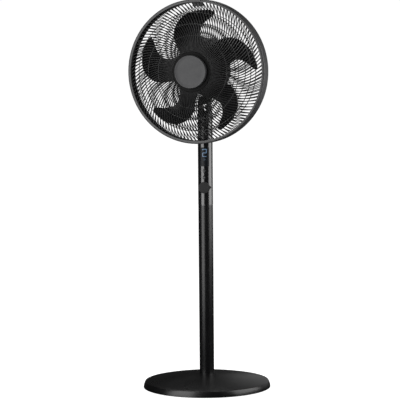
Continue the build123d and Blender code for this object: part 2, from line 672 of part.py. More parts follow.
def cover_screws():
    u = REAR_COVER_U[1] - 20
    screw = Pos(0, 0, u) * Rot(180, 0, 0) * pan_screw(2.9, 1.8, 1.4, -u + FRONT_COVER_U[0] + 18)
    return [Pos(x, y, 0) * screw for x, y in COVER_HOLES]


def carry_handle():
    """Arched grip over the housing, running front to back."""
    outer = FilletPolyline((-7, 50), (-7, 97), (-20, 105.5), (-62, 105.5), (-85, 86), (-85, 50), radius=5.0)
    outer = make_face(outer.edges() + Line((-85, 50), (-7, 50)).edges())
    gap = FilletPolyline((-21, 52), (-21, 88), (-26, 92.5), (-60, 92.5), (-73, 81), (-73, 52), radius=3.0)
    gap = make_face(gap.edges() + Line((-73, 52), (-21, 52)).edges())
    grip = extrude(outer - gap, 44.0)
    grip = fillet(grip.edges().group_by(Axis.Z)[-1].sort_by(Axis.Y)[-5:], 3.0)
    grip = fillet(grip.edges().group_by(Axis.Z)[0].sort_by(Axis.Y)[-5:], 3.0)
    grip = Pos(22, 0, 0) * Rot(0, -90, 0) * grip
    return grip - disc(COVER_R + 0.1, -120, 20)


def bell(front):
    """One motor end bell, drawn for the front end: cup, bearing nose and four bolt ears."""
    face = STATOR_U[1] + 17.5
    nose = 8.0 if front else face + 7.0
    part = disc(BELL_R, STATOR_U[1] - 4.0, face)
    part = fillet(part.edges().group_by(Axis.Z)[-1], 3.0)
    part -= disc(STATOR_R[1] + SEAT, STATOR_U[1] - 5.0, STATOR_U[1])
    part -= disc(STATOR_R[1] - 0.5, STATOR_U[1] - 1.0, face - BELL_WALL)
    part += disc(13.8, face - 9.0, nose)
    for one in around(disc(4.0, STATOR_U[1] - 4.0, STATOR_U[1], BELL_BOLT_R), 4, 45):
        part += one - disc(BELL_R - 1, -100, 20)
    for one in around(disc(2.0, STATOR_U[1] - 6.0, STATOR_U[1] + 2, BELL_BOLT_R), 4, 45):
        part -= one
    part -= disc(SHAFT_R + 1.2, -100, 20)
    part -= disc(BEARING_R, nose - BEARING_W, nose + 1)
    window = disc(6.5, face - BELL_WALL - 2, face + 2, 30)
    for one in around(window, 6, 15):
        part -= one
    return part


def mirror_motor(shape):
    """The same piece at the motor's rear end."""
    mid = (STATOR_U[0] + STATOR_U[1]) / 2
    return Pos(0, 0, 2 * mid) * Rot(180, 0, 0) * shape


def bearing(u):
    part = tube(BEARING_R, SHAFT_R + RUN, u, u + BEARING_W)
    groove = turned([(7.6, u - 1), (6.0, u - 1), (6.0, u + 0.8), (7.6, u + 0.8)])
    return part - groove - Pos(0, 0, BEARING_W + 0.2) * groove


def stator_core():
    part = tube(STATOR_R[1], STATOR_R[0], STATOR_U[0] + 0.05, STATOR_U[1] - 0.05)
    slot = disc(4.0, STATOR_U[0] - 1, STATOR_U[1] + 1, 35.5) + block(25, 34, -1.0, 1.0, STATOR_U[0] - 1, STATOR_U[1] + 1)
    for one in around(slot, 12, 0):
        part -= one
    return part


def winding_ring(u0, u1):
    ring = tube(42.5, 29.5, u0, u1)
    return fillet(ring.edges().filter_by(GeomType.CIRCLE), 3.0)


def stator_windings():
    return [winding_ring(STATOR_U[1], STATOR_U[1] + 9.5), winding_ring(STATOR_U[0] - 9.5, STATOR_U[0])]


def rotor_core():
    part = tube(STATOR_R[0] - 0.5, SHAFT_R, *STATOR_U)
    for one in around(disc(2.6, STATOR_U[0] - 1, STATOR_U[1] + 1, 15.0), 8):
        part -= one
    return part


def rotor_shaft():
    part = disc(SHAFT_R, *SHAFT_U)
    part = chamfer(part.edges().group_by(Axis.Z)[-1], 0.8)
    return part - rod_x(1.5, -10, 10, 0, PIN_U)


def bell_bolts():
    u = STATOR_U[0]
    screw = Pos(BELL_BOLT_R, 0, u) * Rot(180, 0, 0) * pan_screw(3.4, 2.2, 1.5, STATOR_U[1] - u + 14)
    return around(screw, 4, 45)


def motor_capacitor():
    part = block(-19, 19, 19, 45, -84.5, -72.5)
    return fillet(part.edges().filter_by(Axis.X), 2.0)


# ---------------------------------------------------------------- head: guards
def sweep_angle(r, r0):
    """How far round a guard wire has leaned by the time it reaches a radius."""
    lean = tan(radians(SWEEP_RIM)) / (BAND_IN - r0)
    return lean * ((r - r0) - r0 * log(r / r0))


def front_profile():
    """Bend points of a front wire, as (radius, distance forward), from the hub plate to the band."""
    r0 = HUB_R + 1.2
    return [(r0 + share * (WIRE_END - r0), u) for share, u in FRONT_SHARES]


def rear_profile():
    """Bend points of a rear wire: a short foot on the hub plate, then the run to the band."""
    r0 = REAR_HUB_R + 1.0
    foot = (REAR_HUB_R - 10.5, REAR_SHARES[0][1])
    return [foot] + [(r0 + share * (WIRE_END - r0), u) for share, u in REAR_SHARES]


def wire_points(profile):
    """Where the bend points of a guard wire lie: both guards lean the same way round."""
    r0 = profile[0][0]
    points = []
    for r, u in profile:
        a = sweep_angle(r, r0)
        points.append((r * cos(a), r * sin(a), u))
    return points


def guard_wires(profile, radii):
    """All the wires of one guard, each straight runs joined by tangent bends."""
    path = FilletPolyline(*wire_points(profile), radius=radii)
    wire = sweep(Plane(path @ 0, z_dir=path % 0) * Circle(WIRE_R), path=path)
    return around(wire, WIRES)


def ring_seat(profile, side, radius):
    """Centre of a support ring at a radius, behind the wires for side 1 and ahead of them for side -1."""
    points = wire_points(profile)
    for p, q in zip(points, points[1:]):
        if hypot(p[0], p[1]) <= radius <= hypot(q[0], q[1]):
            break
    d = [q[i] - p[i] for i in range(3)]
    a = d[0] ** 2 + d[1] ** 2
    b = p[0] * d[0] + p[1] * d[1]
    c = p[0] ** 2 + p[1] ** 2 - radius**2
    t = (sqrt(b * b - a * c) - b) / a
    u = p[2] + t * d[2]
    slope = atan2(d[2], hypot(q[0], q[1]) - hypot(p[0], p[1]))
    off = (WIRE_R + RING_R + 0.06) * side
    return radius + off * sin(slope), u - off * cos(slope)


def guard_rings(profile, side):
    parts = []
    for radius in RING_RADII:
        r, u = ring_seat(profile, side, radius)
        parts.append(Pos(0, 0, u) * Torus(r, RING_R))
    return parts


def rim_wire(u):
    return Pos(0, 0, u) * Torus(RIM_R, RIM_WIRE)


def front_guard_hub():
    part = disc(HUB_R + 0.9, *HUB_U)
    part = chamfer(part.edges().group_by(Axis.Z)[-1], 0.9)
    part -= tube(CAP_R + SEAT, CAP_R - 2.4, HUB_U[1] - 1.0, HUB_U[1] + 1)
    for one in around(disc(2.6, HUB_U[0] - 1, HUB_U[1] + 1, 32), 3, 30):
        part -= one
    return part


def front_cap():
    """Shallow round cap: thin raised lip round a slightly dished face."""
    r, top, low = CAP_R, CAP_U, HUB_U[1] - 0.9
    part = turned([
        (0, top - 3.2), (0, top - 1.0), (r - 6.5, top - 0.8), (r - 3.2, top), (r - 1.0, top), (r, top - 1.2),
        (r, low), (r - 2.2, low), (r - 2.2, top - 3.2),
    ])
    for one in around(disc(2.4, HUB_U[0] - 1.5, top - 2.5, 32), 3, 30):
        part += one
    return part


def rear_guard_hub():
    back, front = REAR_HUB_U
    part = tube(REAR_HUB_R, THREAD_R + LOOSE, back, front)
    for one in around(disc(5.0, back - 1, front + 1, 44), 9):
        part -= one
    return part


def guard_nut():
    u = REAR_HUB_U[1] + SEAT
    part = tube(33.0, THREAD_R, u, u + 9.0)
    for one in around(disc(2.4, u - 1, u + 10, 34.4), 16):
        part -= one
    return part


def guard_band():
    """The outer band: a C-shaped ring that holds the rims of both guards."""
    back, front = BAND_U
    inner = GUARD_R - BAND_WALL
    part = turned([
        (BAND_IN, front), (GUARD_R - 3.2, front), (GUARD_R - 0.9, front - 1.0), (GUARD_R, front - 3.4),
        (GUARD_R, back + 2.0), (GUARD_R - 2.0, back), (BAND_IN, back), (BAND_IN, back + 3.4),
        (inner, back + 3.4), (inner, front - 3.4), (BAND_IN, front - 3.4),
    ])
    edges = part.edges().filter_by(GeomType.CIRCLE)
    part = fillet(edges.filter_by(lambda e: abs(e.radius - GUARD_R + 3.2) < 0.01 or abs(e.radius - GUARD_R + 0.9) < 0.01), 0.9)
    return part - block(-8.6, 8.6, inner - 2, GUARD_R + 2, LATCH_PIN[1] - 7.5, LATCH_PIN[1] + 8.0)


def guard_clips():
    """Spacers between the two rim wires, on the band's inner wall."""
    inner = GUARD_R - BAND_WALL
    part = block(-7, 7, BAND_IN - 2.5, inner + 1, 57.5, 79.5) & disc(inner - SEAT, 50, 90)
    part = fillet(part.edges().filter_by(Axis.Z).sort_by(Axis.Y)[:2], 1.5)
    return [Rot(0, 0, -angle) * part for angle in (58, 117, 180, 238, 295)]


def latch_keeper():
    inner = GUARD_R - BAND_WALL
    y, u = LATCH_PIN
    part = block(-16, 16, BAND_IN - 13.0, inner + 2, u - 4.2, u + 4.2) & disc(inner - SEAT, 40, 90)
    part -= block(-8.4, 8.4, y - 3.2, inner + 2, u - 6, u + 6)
    part -= rod_x(1.2, -20, 20, y, u)
    return part


def latch_pin():
    y, u = LATCH_PIN
    return rod_x(1.2, -12.5, 12.5, y, u)


def guard_latch():
    """Lever that closes over the band: plate on top, lip in front, lug on the pin behind."""
    y, u = LATCH_PIN
    front = BAND_U[1]
    half = LATCH_W / 2
    arc = tube(GUARD_R + 1.9, GUARD_R + LOOSE, u + 4.0, front + 2.4)
    span = block(-half, half, GUARD_R - 25, GUARD_R + 15, 40, 100)
    plate = arc & span
    lip = tube(GUARD_R + 1.9, GUARD_R - 6.5, front + 0.7, front + 2.4) & span
    lug = rod_x(2.4, -8, 8, y, u) + block(-8, 8, y - 1.0, GUARD_R + 1.0, u - 1.0, u + 5.0)
    part = plate + lip + lug
    return part - rod_x(1.2 + RUN, -20, 20, y, u)


# ---------------------------------------------------------------- rotor
def blade_section(d, left, right, u_left, u_right, sag, thick):
    """One slice of a blade at a distance above the axis: a thin plate, hollow side forward."""
    mid_x = (left + right) / 2
    mid_u = (u_left + u_right) / 2 - sag
    run = hypot(right - left, u_right - u_left)
    nx, nu = (u_left - u_right) / run * thick / 2, (right - left) / run * thick / 2
    front = Spline((left, u_left + nu * 0.5), (mid_x + nx, mid_u + nu), (right, u_right + nu * 0.5))
    back = Spline((right, u_right - nu * 0.5), (mid_x - nx, mid_u - nu), (left, u_left - nu * 0.5))
    face = make_face(Wire([front, Line(front @ 1, back @ 0), back, Line(back @ 1, front @ 0)]))
    return Location(Plane(origin=(0, d, 0), x_dir=(1, 0, 0), z_dir=(0, -1, 0))) * face


def one_blade():
    """A blade lofted through slices: height and both edges as shares of the tip radius, then depths."""
    rows = (
        (0.073, -0.157, 0.157, 95.0, 37.0, 3.0, 2.8),
        (0.235, -0.230, 0.172, 95.0, 37.0, 4.5, 2.8),
        (0.355, -0.279, 0.168, 94.0, 39.0, 6.0, 2.7),
        (0.470, -0.334, 0.100, 93.0, 43.5, 6.5, 2.6),
        (0.574, -0.363, 0.022, 91.5, 48.0, 6.5, 2.5),
        (0.668, -0.360, 0.020, 90.5, 50.5, 6.0, 2.4),
        (0.768, -0.326, 0.070, 88.5, 52.0, 5.5, 2.3),
        (0.856, -0.266, 0.175, 86.0, 54.5, 5.0, 2.1),
        (0.924, -0.183, 0.268, 83.0, 58.0, 4.0, 1.9),
        (0.971, -0.078, 0.272, 79.0, 62.0, 2.0, 1.7),
        (1.000, 0.045, 0.200, 74.0, 67.5, 0.6, 1.4),
    )
    slices = []
    for high, left, right, u_left, u_right, sag, thick in rows:
        at = (high * BLADE_R, left * BLADE_R, right * BLADE_R)
        slices.append(blade_section(*at, u_left, u_right, sag, thick))
    return loft(slices)


def fan_blade():
    back, front = BLADE_HUB_U
    outside = disc(BLADE_HUB_R, back, front)
    outside = fillet(outside.edges().group_by(Axis.Z)[-1], 5.0)
    blade = one_blade() - disc(BLADE_HUB_R - 1.2, back - 20, front + 20)
    part = outside - disc(BLADE_HUB_R - 2.5, back - 1, front - 2.5)
    for one in around(blade, BLADES):
        part += one
    part += disc(10.0, PIN_U - 8, front - 1)
    web = block(8.0, BLADE_HUB_R - 1.5, -1.0, 1.0, front - 22, front - 1)
    for one in around(web, 6):
        part += one
    part -= disc(SHAFT_R, back - 1, front + 1)
    part -= block(-12, 12, -1.6, 1.6, PIN_U - 9, PIN_U + 1.6)
    return part


def drive_pin():
    return rod_x(1.5, -9.0, 9.0, 0, PIN_U)


def spinner_nut():
    u = BLADE_HUB_U[1] + SEAT
    part = disc(17.0, u, u + 12.0)
    part = fillet(part.edges().group_by(Axis.Z)[-1], 5.0)
    part -= disc(SHAFT_R, u - 1, SHAFT_U[1] + SEAT)
    for one in around(block(15.2, 19, -1.2, 1.2, u - 1, u + 14), 8):
        part -= one
    return part


def main():
    os.makedirs("parts", exist_ok=True)
    save("base_cover", base_cover())
    save("base_ballast", base_ballast())
    save("base_bottom_plate", base_bottom_plate())
    save("foot_ring", foot_ring())
    save("base_screws", base_screws() + socket_screws())
    save("pole_socket", pole_socket())
    save("lower_pole", lower_pole())
    save("pole_set_screws", pole_set_screws())
    save("cord_gland", cord_gland())
    save("terminal_block", terminal_block())
    save("supply_wire", supply_wire())
    save("joint_sleeve", joint_sleeve())
    save("column_front", column_front())
    save("column_rear", column_rear())
    save("column_screws", sleeve_screws() + shell_screws())
    save("display_window", display_window())
    save("display_module", display_module())
    save("control_board", control_board())
    save("tact_switches", tact_switches())
    save("power_button", button(BUTTON_Z[0]))
    save("mode_button", button(BUTTON_Z[1]))
    save("dial_encoder", dial_encoder())
    save("dial_shaft", dial_shaft())
    save("dial", dial())
    save("pan_bearing_plate", pan_bearing_plate())
    save("osc_motor", [osc_motor()] + osc_standoffs())
    save("osc_pinion", osc_pinion())
    save("pan_gear", pan_gear(), NECK)
    save("pan_spindle", [pan_spindle(), spindle_ring()], NECK)
    save("pan_washers", [thrust_washer(), pan_washer()], NECK)
    save("neck_yoke", neck_yoke(), NECK)
    save("tilt_bolt", [tilt_bolt(), tilt_nut()], NECK)
    save("tilt_washers", tilt_washers(), NECK)
    save("tilt_bracket", tilt_bracket(), HEAD)
    save("motor_front_cover", motor_front_cover(), HEAD)
    save("motor_rear_cover", motor_rear_cover(), HEAD)
    save("head_screws", bracket_screws() + cover_screws() + bell_bolts(), HEAD)
    save("carry_handle", carry_handle(), HEAD)
    save("motor_bells", [bell(True), mirror_motor(bell(False))], HEAD)
    save("motor_bearings", [bearing(0.0), bearing(2 * STATOR_U[0] + 4.0 - BEARING_W)], HEAD)
    save("stator_core", stator_core(), HEAD)
    save("stator_windings", stator_windings(), HEAD)
    save("motor_capacitor", motor_capacitor(), HEAD)
    save("rear_guard_hub", rear_guard_hub(), HEAD)
    save("guard_nut", guard_nut(), HEAD)
    save("rear_guard_wires", guard_wires(rear_profile(), REAR_BENDS), HEAD)
    save("front_guard_wires", guard_wires(front_profile(), FRONT_BENDS), HEAD)
    save("guard_rings", guard_rings(rear_profile(), -1) + guard_rings(front_profile(), 1), HEAD)
    save("guard_rims", [rim_wire(BAND_U[0] + RIM_SEAT), rim_wire(BAND_U[1] - RIM_SEAT)], HEAD)
    save("front_guard_hub", front_guard_hub(), HEAD)
    save("front_cap", front_cap(), HEAD)
    save("guard_band", guard_band(), HEAD)
    save("guard_clips", guard_clips() + [latch_keeper()], HEAD)
    save("latch_pin", latch_pin(), HEAD)
    save("guard_latch", guard_latch(), HEAD)
    save("rotor_shaft", [rotor_shaft(), drive_pin()], HEAD)
    save("rotor_core", rotor_core(), HEAD)
    save("fan_blade", fan_blade(), HEAD)
    save("spinner_nut", spinner_nut(), HEAD)


if __name__ == "__main__":
    main()
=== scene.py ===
"""Finish of a household pedestal fan: skins, wires, display marks, surface finishes and a plain studio."""

import json
import math

import bpy
from bpy.props import FloatProperty, FloatVectorProperty, IntProperty, PointerProperty
from mathutils import Matrix, Quaternion, Vector

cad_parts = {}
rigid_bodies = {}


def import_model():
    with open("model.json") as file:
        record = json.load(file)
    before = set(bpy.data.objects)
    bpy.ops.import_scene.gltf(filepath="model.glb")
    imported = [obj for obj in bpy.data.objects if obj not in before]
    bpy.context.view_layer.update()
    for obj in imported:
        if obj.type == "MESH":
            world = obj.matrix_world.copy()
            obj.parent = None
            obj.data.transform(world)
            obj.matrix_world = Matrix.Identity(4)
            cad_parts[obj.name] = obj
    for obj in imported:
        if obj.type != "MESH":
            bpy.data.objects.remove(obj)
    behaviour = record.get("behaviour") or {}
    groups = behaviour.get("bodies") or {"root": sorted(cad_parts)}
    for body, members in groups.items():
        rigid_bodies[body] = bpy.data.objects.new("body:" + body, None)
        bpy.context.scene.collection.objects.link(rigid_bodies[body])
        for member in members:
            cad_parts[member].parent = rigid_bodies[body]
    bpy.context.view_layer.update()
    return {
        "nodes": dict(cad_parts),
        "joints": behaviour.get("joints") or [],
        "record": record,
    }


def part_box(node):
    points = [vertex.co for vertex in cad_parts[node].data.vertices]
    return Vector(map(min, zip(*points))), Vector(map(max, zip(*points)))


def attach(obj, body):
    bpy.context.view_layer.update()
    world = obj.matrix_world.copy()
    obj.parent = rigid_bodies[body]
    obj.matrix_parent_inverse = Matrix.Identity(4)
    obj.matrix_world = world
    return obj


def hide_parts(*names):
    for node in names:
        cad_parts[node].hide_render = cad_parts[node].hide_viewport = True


bl_info = {
    "name": "Pedestal Fan Finish",
    "version": (1, 0, 0),
    "blender": (4, 5, 0),
    "location": "View3D > Sidebar > Fan",
    "description": "Dresses the engineered frame of a pedestal fan with its finished pieces and surfaces",
    "category": "Object",
}

for leftover in list(bpy.data.objects):
    bpy.data.objects.remove(leftover)
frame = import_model()

# ---------------------------------------------------------------- places taken from the frame
JOINTS = {joint["name"]: joint for joint in frame["joints"]}
FORWARD = Vector(JOINTS["blade_spin"]["axis"]).normalized()
SIDE = Vector(JOINTS["tilt"]["axis"]).normalized()
UP = Vector((0.0, 0.0, 1.0))
AXLE = Vector(JOINTS["blade_spin"]["pos_m"])
HEAD = Matrix.Translation(AXLE) @ Matrix((SIDE, UP, FORWARD)).transposed().to_4x4()
SLOT_OF = {part["node"]: part["material_slot"] for part in frame["record"]["subparts"]}
BODY_OF = {node: body for body, nodes in frame["record"]["behaviour"]["bodies"].items() for node in nodes}


def reach(node, axis, side):
    """One coordinate of a frame node's box: side 0 is the lowest, 1 the highest."""
    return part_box(node)[side][axis]


def depth_range(node):
    """How far forward a head node starts and ends along the fan's axle."""
    depths = [(vertex.co - AXLE).dot(FORWARD) for vertex in frame["nodes"][node].data.vertices]
    return min(depths), max(depths)


def axle_radius(node):
    """Largest distance of a head node from the fan's axle."""
    offsets = [vertex.co - AXLE for vertex in frame["nodes"][node].data.vertices]
    return max((offset - offset.dot(FORWARD) * FORWARD).length for offset in offsets)


COLUMN_RADIUS = reach("column_rear", 0, 1)
WINDOW_LOW = reach("display_window", 2, 0)
WINDOW_HIGH = reach("display_window", 2, 1)
BAND_RADIUS = axle_radius("guard_band")
FRONT_HUB_RADIUS = axle_radius("front_guard_hub")
REAR_HUB_RADIUS = axle_radius("rear_guard_hub")
FRONT_HUB_BACK = depth_range("front_guard_hub")[0]
REAR_HUB_FRONT = depth_range("rear_guard_hub")[1]

# Shape of the two kinds of guard wire: share of the way from hub to band, then distance forward.
FRONT_WIRE = ((0.0, 0.0016), (0.19, -0.0004), (0.45, -0.0064), (0.685, -0.0154), (0.92, -0.030), (1.0, -0.0392))
REAR_WIRE = ((0.0, 0.00165), (0.135, 0.0218), (0.4, 0.0313), (0.655, 0.0383), (0.915, 0.0448), (1.0, 0.0479))
WIRE_INSET = 0.0099              # end of a wire inside the band's outline
RIM_LEAN = math.radians(40.0)    # lean of a wire where it meets the band
BAND_LIP = 0.009                 # radial width of the band's lips
REAR_FOOT = 0.0105               # how far a rear wire's foot reaches in over its hub plate
FRONT_ROOT_GAP = 0.0003          # start of a front wire outside its hub plate
REAR_ROOT_GAP = 0.001            # the same for a rear wire

# Places and sizes of the marks on the column.
NUMERAL_DROP = 0.0172            # middle of the numeral under the window's top
ICON_RISE = 0.0218               # middle of the airflow mark above the window's foot
ICON_REACH = 0.0036              # length of one of its strokes
ICON_BEND = 0.0022               # how far a stroke bows to the side
ICON_STROKE = 0.0006             # half width of a stroke
LIT_PROUD = 0.00012              # thickness of the numeral on the window
ICON_PROUD = 0.00008             # thickness of the airflow mark
PRINT_PROUD = 0.00004            # thickness of print on a key
KEY_RING_RADIUS = 0.0054
POWER_ARC_RADIUS = 0.0021
POWER_GAP = math.radians(38.0)   # half of the opening at the top of the power mark
MARK_SMOOTH_ANGLE = math.radians(60.0)
BLADE_SMOOTH_ANGLE = math.radians(40.0)
MERGE_DISTANCE = 0.000004        # corners of a frame mesh closer than this become one
SENSOR_WIDTH = 36.0              # of the camera, in millimetres

# The lights: turn from the camera's direction, distance, height, width, tall side, share of the named
# brightness, and the height on the column that each one faces.
SOFTBOXES = (
    ("left_softbox", math.radians(-46.0), 1.6, 1.10, 1.3, 2.1, 1.0, 1.10),
    ("right_softbox", math.radians(78.0), 1.6, 1.30, 1.6, 2.0, 1.0, 1.30),
    ("top_softbox", math.radians(200.0), 1.8, 2.9, 2.4, 1.2, 0.5, 1.0),
)
BACK_PANEL = ("back_panel", math.radians(148.0), 2.6, 0.75, 2.6, 1.3, 1.0, 0.3)


# ---------------------------------------------------------------- settings
class FanSizes(bpy.types.PropertyGroup):
    """Sizes of the pieces that are added to the frame."""

    wire_radius: FloatProperty(
        name="Wire radius", description="Radius of the guard wires", default=0.0016, unit="LENGTH")
    wire_count: IntProperty(
        name="Wires", description="Number of wires in each guard", default=114, min=12)
    wire_sides: IntProperty(
        name="Wire roundness", description="Extra divisions round a guard wire", default=1, min=0)
    numeral_height: FloatProperty(
        name="Numeral height", description="Height of the lit numeral", default=0.0250, unit="LENGTH")
    numeral_width: FloatProperty(
        name="Numeral width", description="Width of the lit numeral", default=0.0140, unit="LENGTH")
    numeral_stroke: FloatProperty(
        name="Numeral stroke", description="Half width of the numeral's strokes", default=0.0011, unit="LENGTH")
    mark_stroke: FloatProperty(
        name="Mark stroke", description="Half width of printed marks", default=0.00022, unit="LENGTH")
    outline_stroke: FloatProperty(
        name="Outline stroke", description="Half width of the dark ring on a key", default=0.0007, unit="LENGTH")
    smooth_angle: FloatProperty(
        name="Smoothing angle", description="Edges flatter than this are shaded smooth",
        default=math.radians(32.0), subtype="ANGLE")


class FanColours(bpy.types.PropertyGroup):
    """Colours of the fan's finishes."""

    body: FloatVectorProperty(
        name="Body", description="Black of the moulded housings", default=(0.010, 0.010, 0.011),
        subtype="COLOR", size=3)
    pole: FloatVectorProperty(
        name="Pole", description="Black of the painted pole", default=(0.0040, 0.0040, 0.0044),
        subtype="COLOR", size=3)
    base: FloatVectorProperty(
        name="Base", description="Black of the weighted base", default=(0.0030, 0.0030, 0.0033),
        subtype="COLOR", size=3)
    band: FloatVectorProperty(
        name="Band", description="Graphite of the guard's outer band", default=(0.030, 0.030, 0.031),
        subtype="COLOR", size=3)
    cap: FloatVectorProperty(
        name="Cap", description="Graphite of the front cap", default=(0.028, 0.028, 0.030),
        subtype="COLOR", size=3)
    wires: FloatVectorProperty(
        name="Wires", description="Black of the coated guard wires", default=(0.0150, 0.0150, 0.0154),
        subtype="COLOR", size=3)
    blades: FloatVectorProperty(
        name="Blades", description="Black of the fan blades", default=(0.0060, 0.0060, 0.0066),
        subtype="COLOR", size=3)
    dial: FloatVectorProperty(
        name="Dial", description="Dark grey of the selector dial", default=(0.009, 0.009, 0.0096),
        subtype="COLOR", size=3)
    glow: FloatVectorProperty(
        name="Glow", description="Light of the numeral", default=(0.11, 0.20, 0.33),
        subtype="COLOR", size=3)


class FanStudio(bpy.types.PropertyGroup):
    """Camera and lights of the plain studio."""

    camera_distance: FloatProperty(
        name="Camera distance", description="Camera to the column, along the floor", default=5.6, unit="LENGTH")
    camera_turn: FloatProperty(
        name="Camera turn", description="Camera direction from straight ahead, towards the right",
        default=math.radians(6.7), subtype="ANGLE")
    camera_height: FloatProperty(
        name="Camera height", description="Camera above the floor", default=1.05, unit="LENGTH")
    aim_height: FloatProperty(
        name="Aim height", description="Height on the column that the camera looks at", default=0.6000,
        unit="LENGTH")
    aim_side: FloatProperty(
        name="Aim side", description="How far to the right of the view's middle the column stands", default=0.018,
        unit="LENGTH")
    roll: FloatProperty(
        name="Roll", description="Tilt of the camera about its own axis", default=math.radians(0.44),
        subtype="ANGLE")
    view_width: FloatProperty(
        name="View width", description="Width of the view at the column", default=1.2704, unit="LENGTH")
    box_light: FloatProperty(
        name="Softbox light", description="Brightness of the tall softboxes", default=3.2)
    panel_light: FloatProperty(
        name="Panel light", description="Brightness of the low panel behind the fan", default=0.3)
    dim_world: FloatProperty(
        name="Room light", description="Brightness of the room in reflections", default=0.02)


# ---------------------------------------------------------------- small modelling helpers
def settings():
    return bpy.context.scene


def object_mode():
    if bpy.context.object is not None and bpy.context.object.mode != "OBJECT":
        bpy.ops.object.mode_set(mode="OBJECT")


def pick(*objects):
    """Select these objects alone; the first is the active one."""
    object_mode()
    bpy.ops.object.select_all(action="DESELECT")
    for each in objects:
        each.select_set(True)
    bpy.context.view_layer.objects.active = objects[0]


def settle(piece):
    """Put a piece's place into its mesh."""
    pick(piece)
    bpy.ops.object.transform_apply(location=True, rotation=True, scale=True)


def smooth(piece, angle=None):
    pick(piece)
    bpy.ops.object.shade_smooth_by_angle(angle=angle or settings().fan_sizes.smooth_angle)


def paint(piece, material):
    piece.data.materials.clear()
    piece.data.materials.append(material)


def finish_of(slot):
    """The surface finish that stands for one of the record's material slots."""
    return bpy.data.materials["finish_" + slot]


def seat(piece, body, slot, *nodes):
    """Fasten a finished piece to a body and hide the frame nodes that it stands for. The slot argument is not used.
    """
    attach(piece, body)
    if nodes:
        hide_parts(*nodes)
    return piece


def skin(node, name, angle=None):
    """A merged, smooth copy of a frame node, which stands for that node."""
    source = frame["nodes"][node]
    piece = bpy.data.objects.new(name, source.data.copy())
    bpy.context.scene.collection.objects.link(piece)
    pick(piece)
    bpy.ops.object.mode_set(mode="EDIT")
    bpy.ops.mesh.select_all(action="SELECT")
    bpy.ops.mesh.remove_doubles(threshold=MERGE_DISTANCE)
    bpy.ops.object.mode_set(mode="OBJECT")
    if piece.data.has_custom_normals:
        bpy.ops.mesh.customdata_custom_splitnormals_clear()
    smooth(piece, angle)
    paint(piece, finish_of(SLOT_OF[node]))
    return seat(piece, BODY_OF[node], SLOT_OF[node], node)


def bent_wire(name, points, radius, sides, steps):
    """A round wire along smooth bends, as a mesh, with its ends closed."""
    while len(points) < 5:
        points = [points[0]] + [place for pair in zip(points, points[1:])
                                for place in ((Vector(pair[0]) + Vector(pair[1])) / 2, pair[1])]
    bpy.ops.curve.primitive_nurbs_path_add()
    path = bpy.context.object
    path.name = name
    spline = path.data.splines[0]
    spline.points.add(len(points) - len(spline.points))
    for point, place in zip(spline.points, points):
        point.co = (*place, 1.0)
    spline.order_u = 3
    spline.use_endpoint_u = True
    spline.resolution_u = steps
    path.data.resolution_u = steps
    path.data.bevel_depth = radius
    path.data.bevel_resolution = sides
    path.data.use_fill_caps = True
    pick(path)
    bpy.ops.object.convert(target="MESH")
    piece = bpy.context.object
    piece.name = name
    return piece


def join(pieces, name):
    pick(*pieces)
    bpy.ops.object.join()
    joined = bpy.context.object
    joined.name = name
    joined.data.name = name
    return joined


def turned_copy(piece, angle):
    """A copy with its own mesh, turned about the fan's axle."""
    copy = piece.copy()
    copy.data = piece.data.copy()
    bpy.context.scene.collection.objects.link(copy)
    copy.data.transform(HEAD @ Matrix.Rotation(angle, 4, "Z") @ HEAD.inverted())
    return copy


# ---------------------------------------------------------------- shader helpers
def new_group(name, inputs, outputs):
    """An empty shader group with named float inputs, given with defaults, and named outputs."""
    group = bpy.data.node_groups.new(name, "ShaderNodeTree")
    for label, value in inputs.items():
        socket = group.interface.new_socket(name=label, in_out="INPUT", socket_type="NodeSocketFloat")
        socket.default_value = value
    for label in outputs:
        group.interface.new_socket(name=label, in_out="OUTPUT", socket_type="NodeSocketFloat")
    return group


def add(tree, kind, **values):
    """A node with its settings, and its input sockets by name when a value's key starts with in_."""
    made = tree.nodes.new(kind)
    for key, value in values.items():
        if key.startswith("in_"):
            made.inputs[key[3:].replace("_", " ")].default_value = value
        else:
            setattr(made, key, value)
    return made


def math_node(tree, operation, first, second):
    """A Math node fed by sockets or plain numbers."""
    made = add(tree, "ShaderNodeMath", operation=operation)
    for socket, value in zip(made.inputs, (first, second)):
        if isinstance(value, (int, float)):
            socket.default_value = value
        else:
            tree.links.new(value, socket)
    return made.outputs[0]


def noise(tree, vector, size, detail=2.0, roughness=0.5):
    """Noise whose features are about size metres, or the size given by a socket."""
    made = add(tree, "ShaderNodeTexNoise", in_Detail=detail, in_Roughness=roughness)
    tree.links.new(vector, made.inputs["Vector"])
    if isinstance(size, (int, float)):
        made.inputs["Scale"].default_value = 1.0 / size
    else:
        tree.links.new(math_node(tree, "DIVIDE", 1.0, size), made.inputs["Scale"])
    return made.outputs["Fac"]


def ramp(tree, value, low, high):
    """A value stretched so that low becomes 0 and high becomes 1."""
    made = add(tree, "ShaderNodeMapRange", clamp=True)
    made.inputs["From Min"].default_value = low
    made.inputs["From Max"].default_value = high
    tree.links.new(value, made.inputs["Value"])
    return made.outputs["Result"]


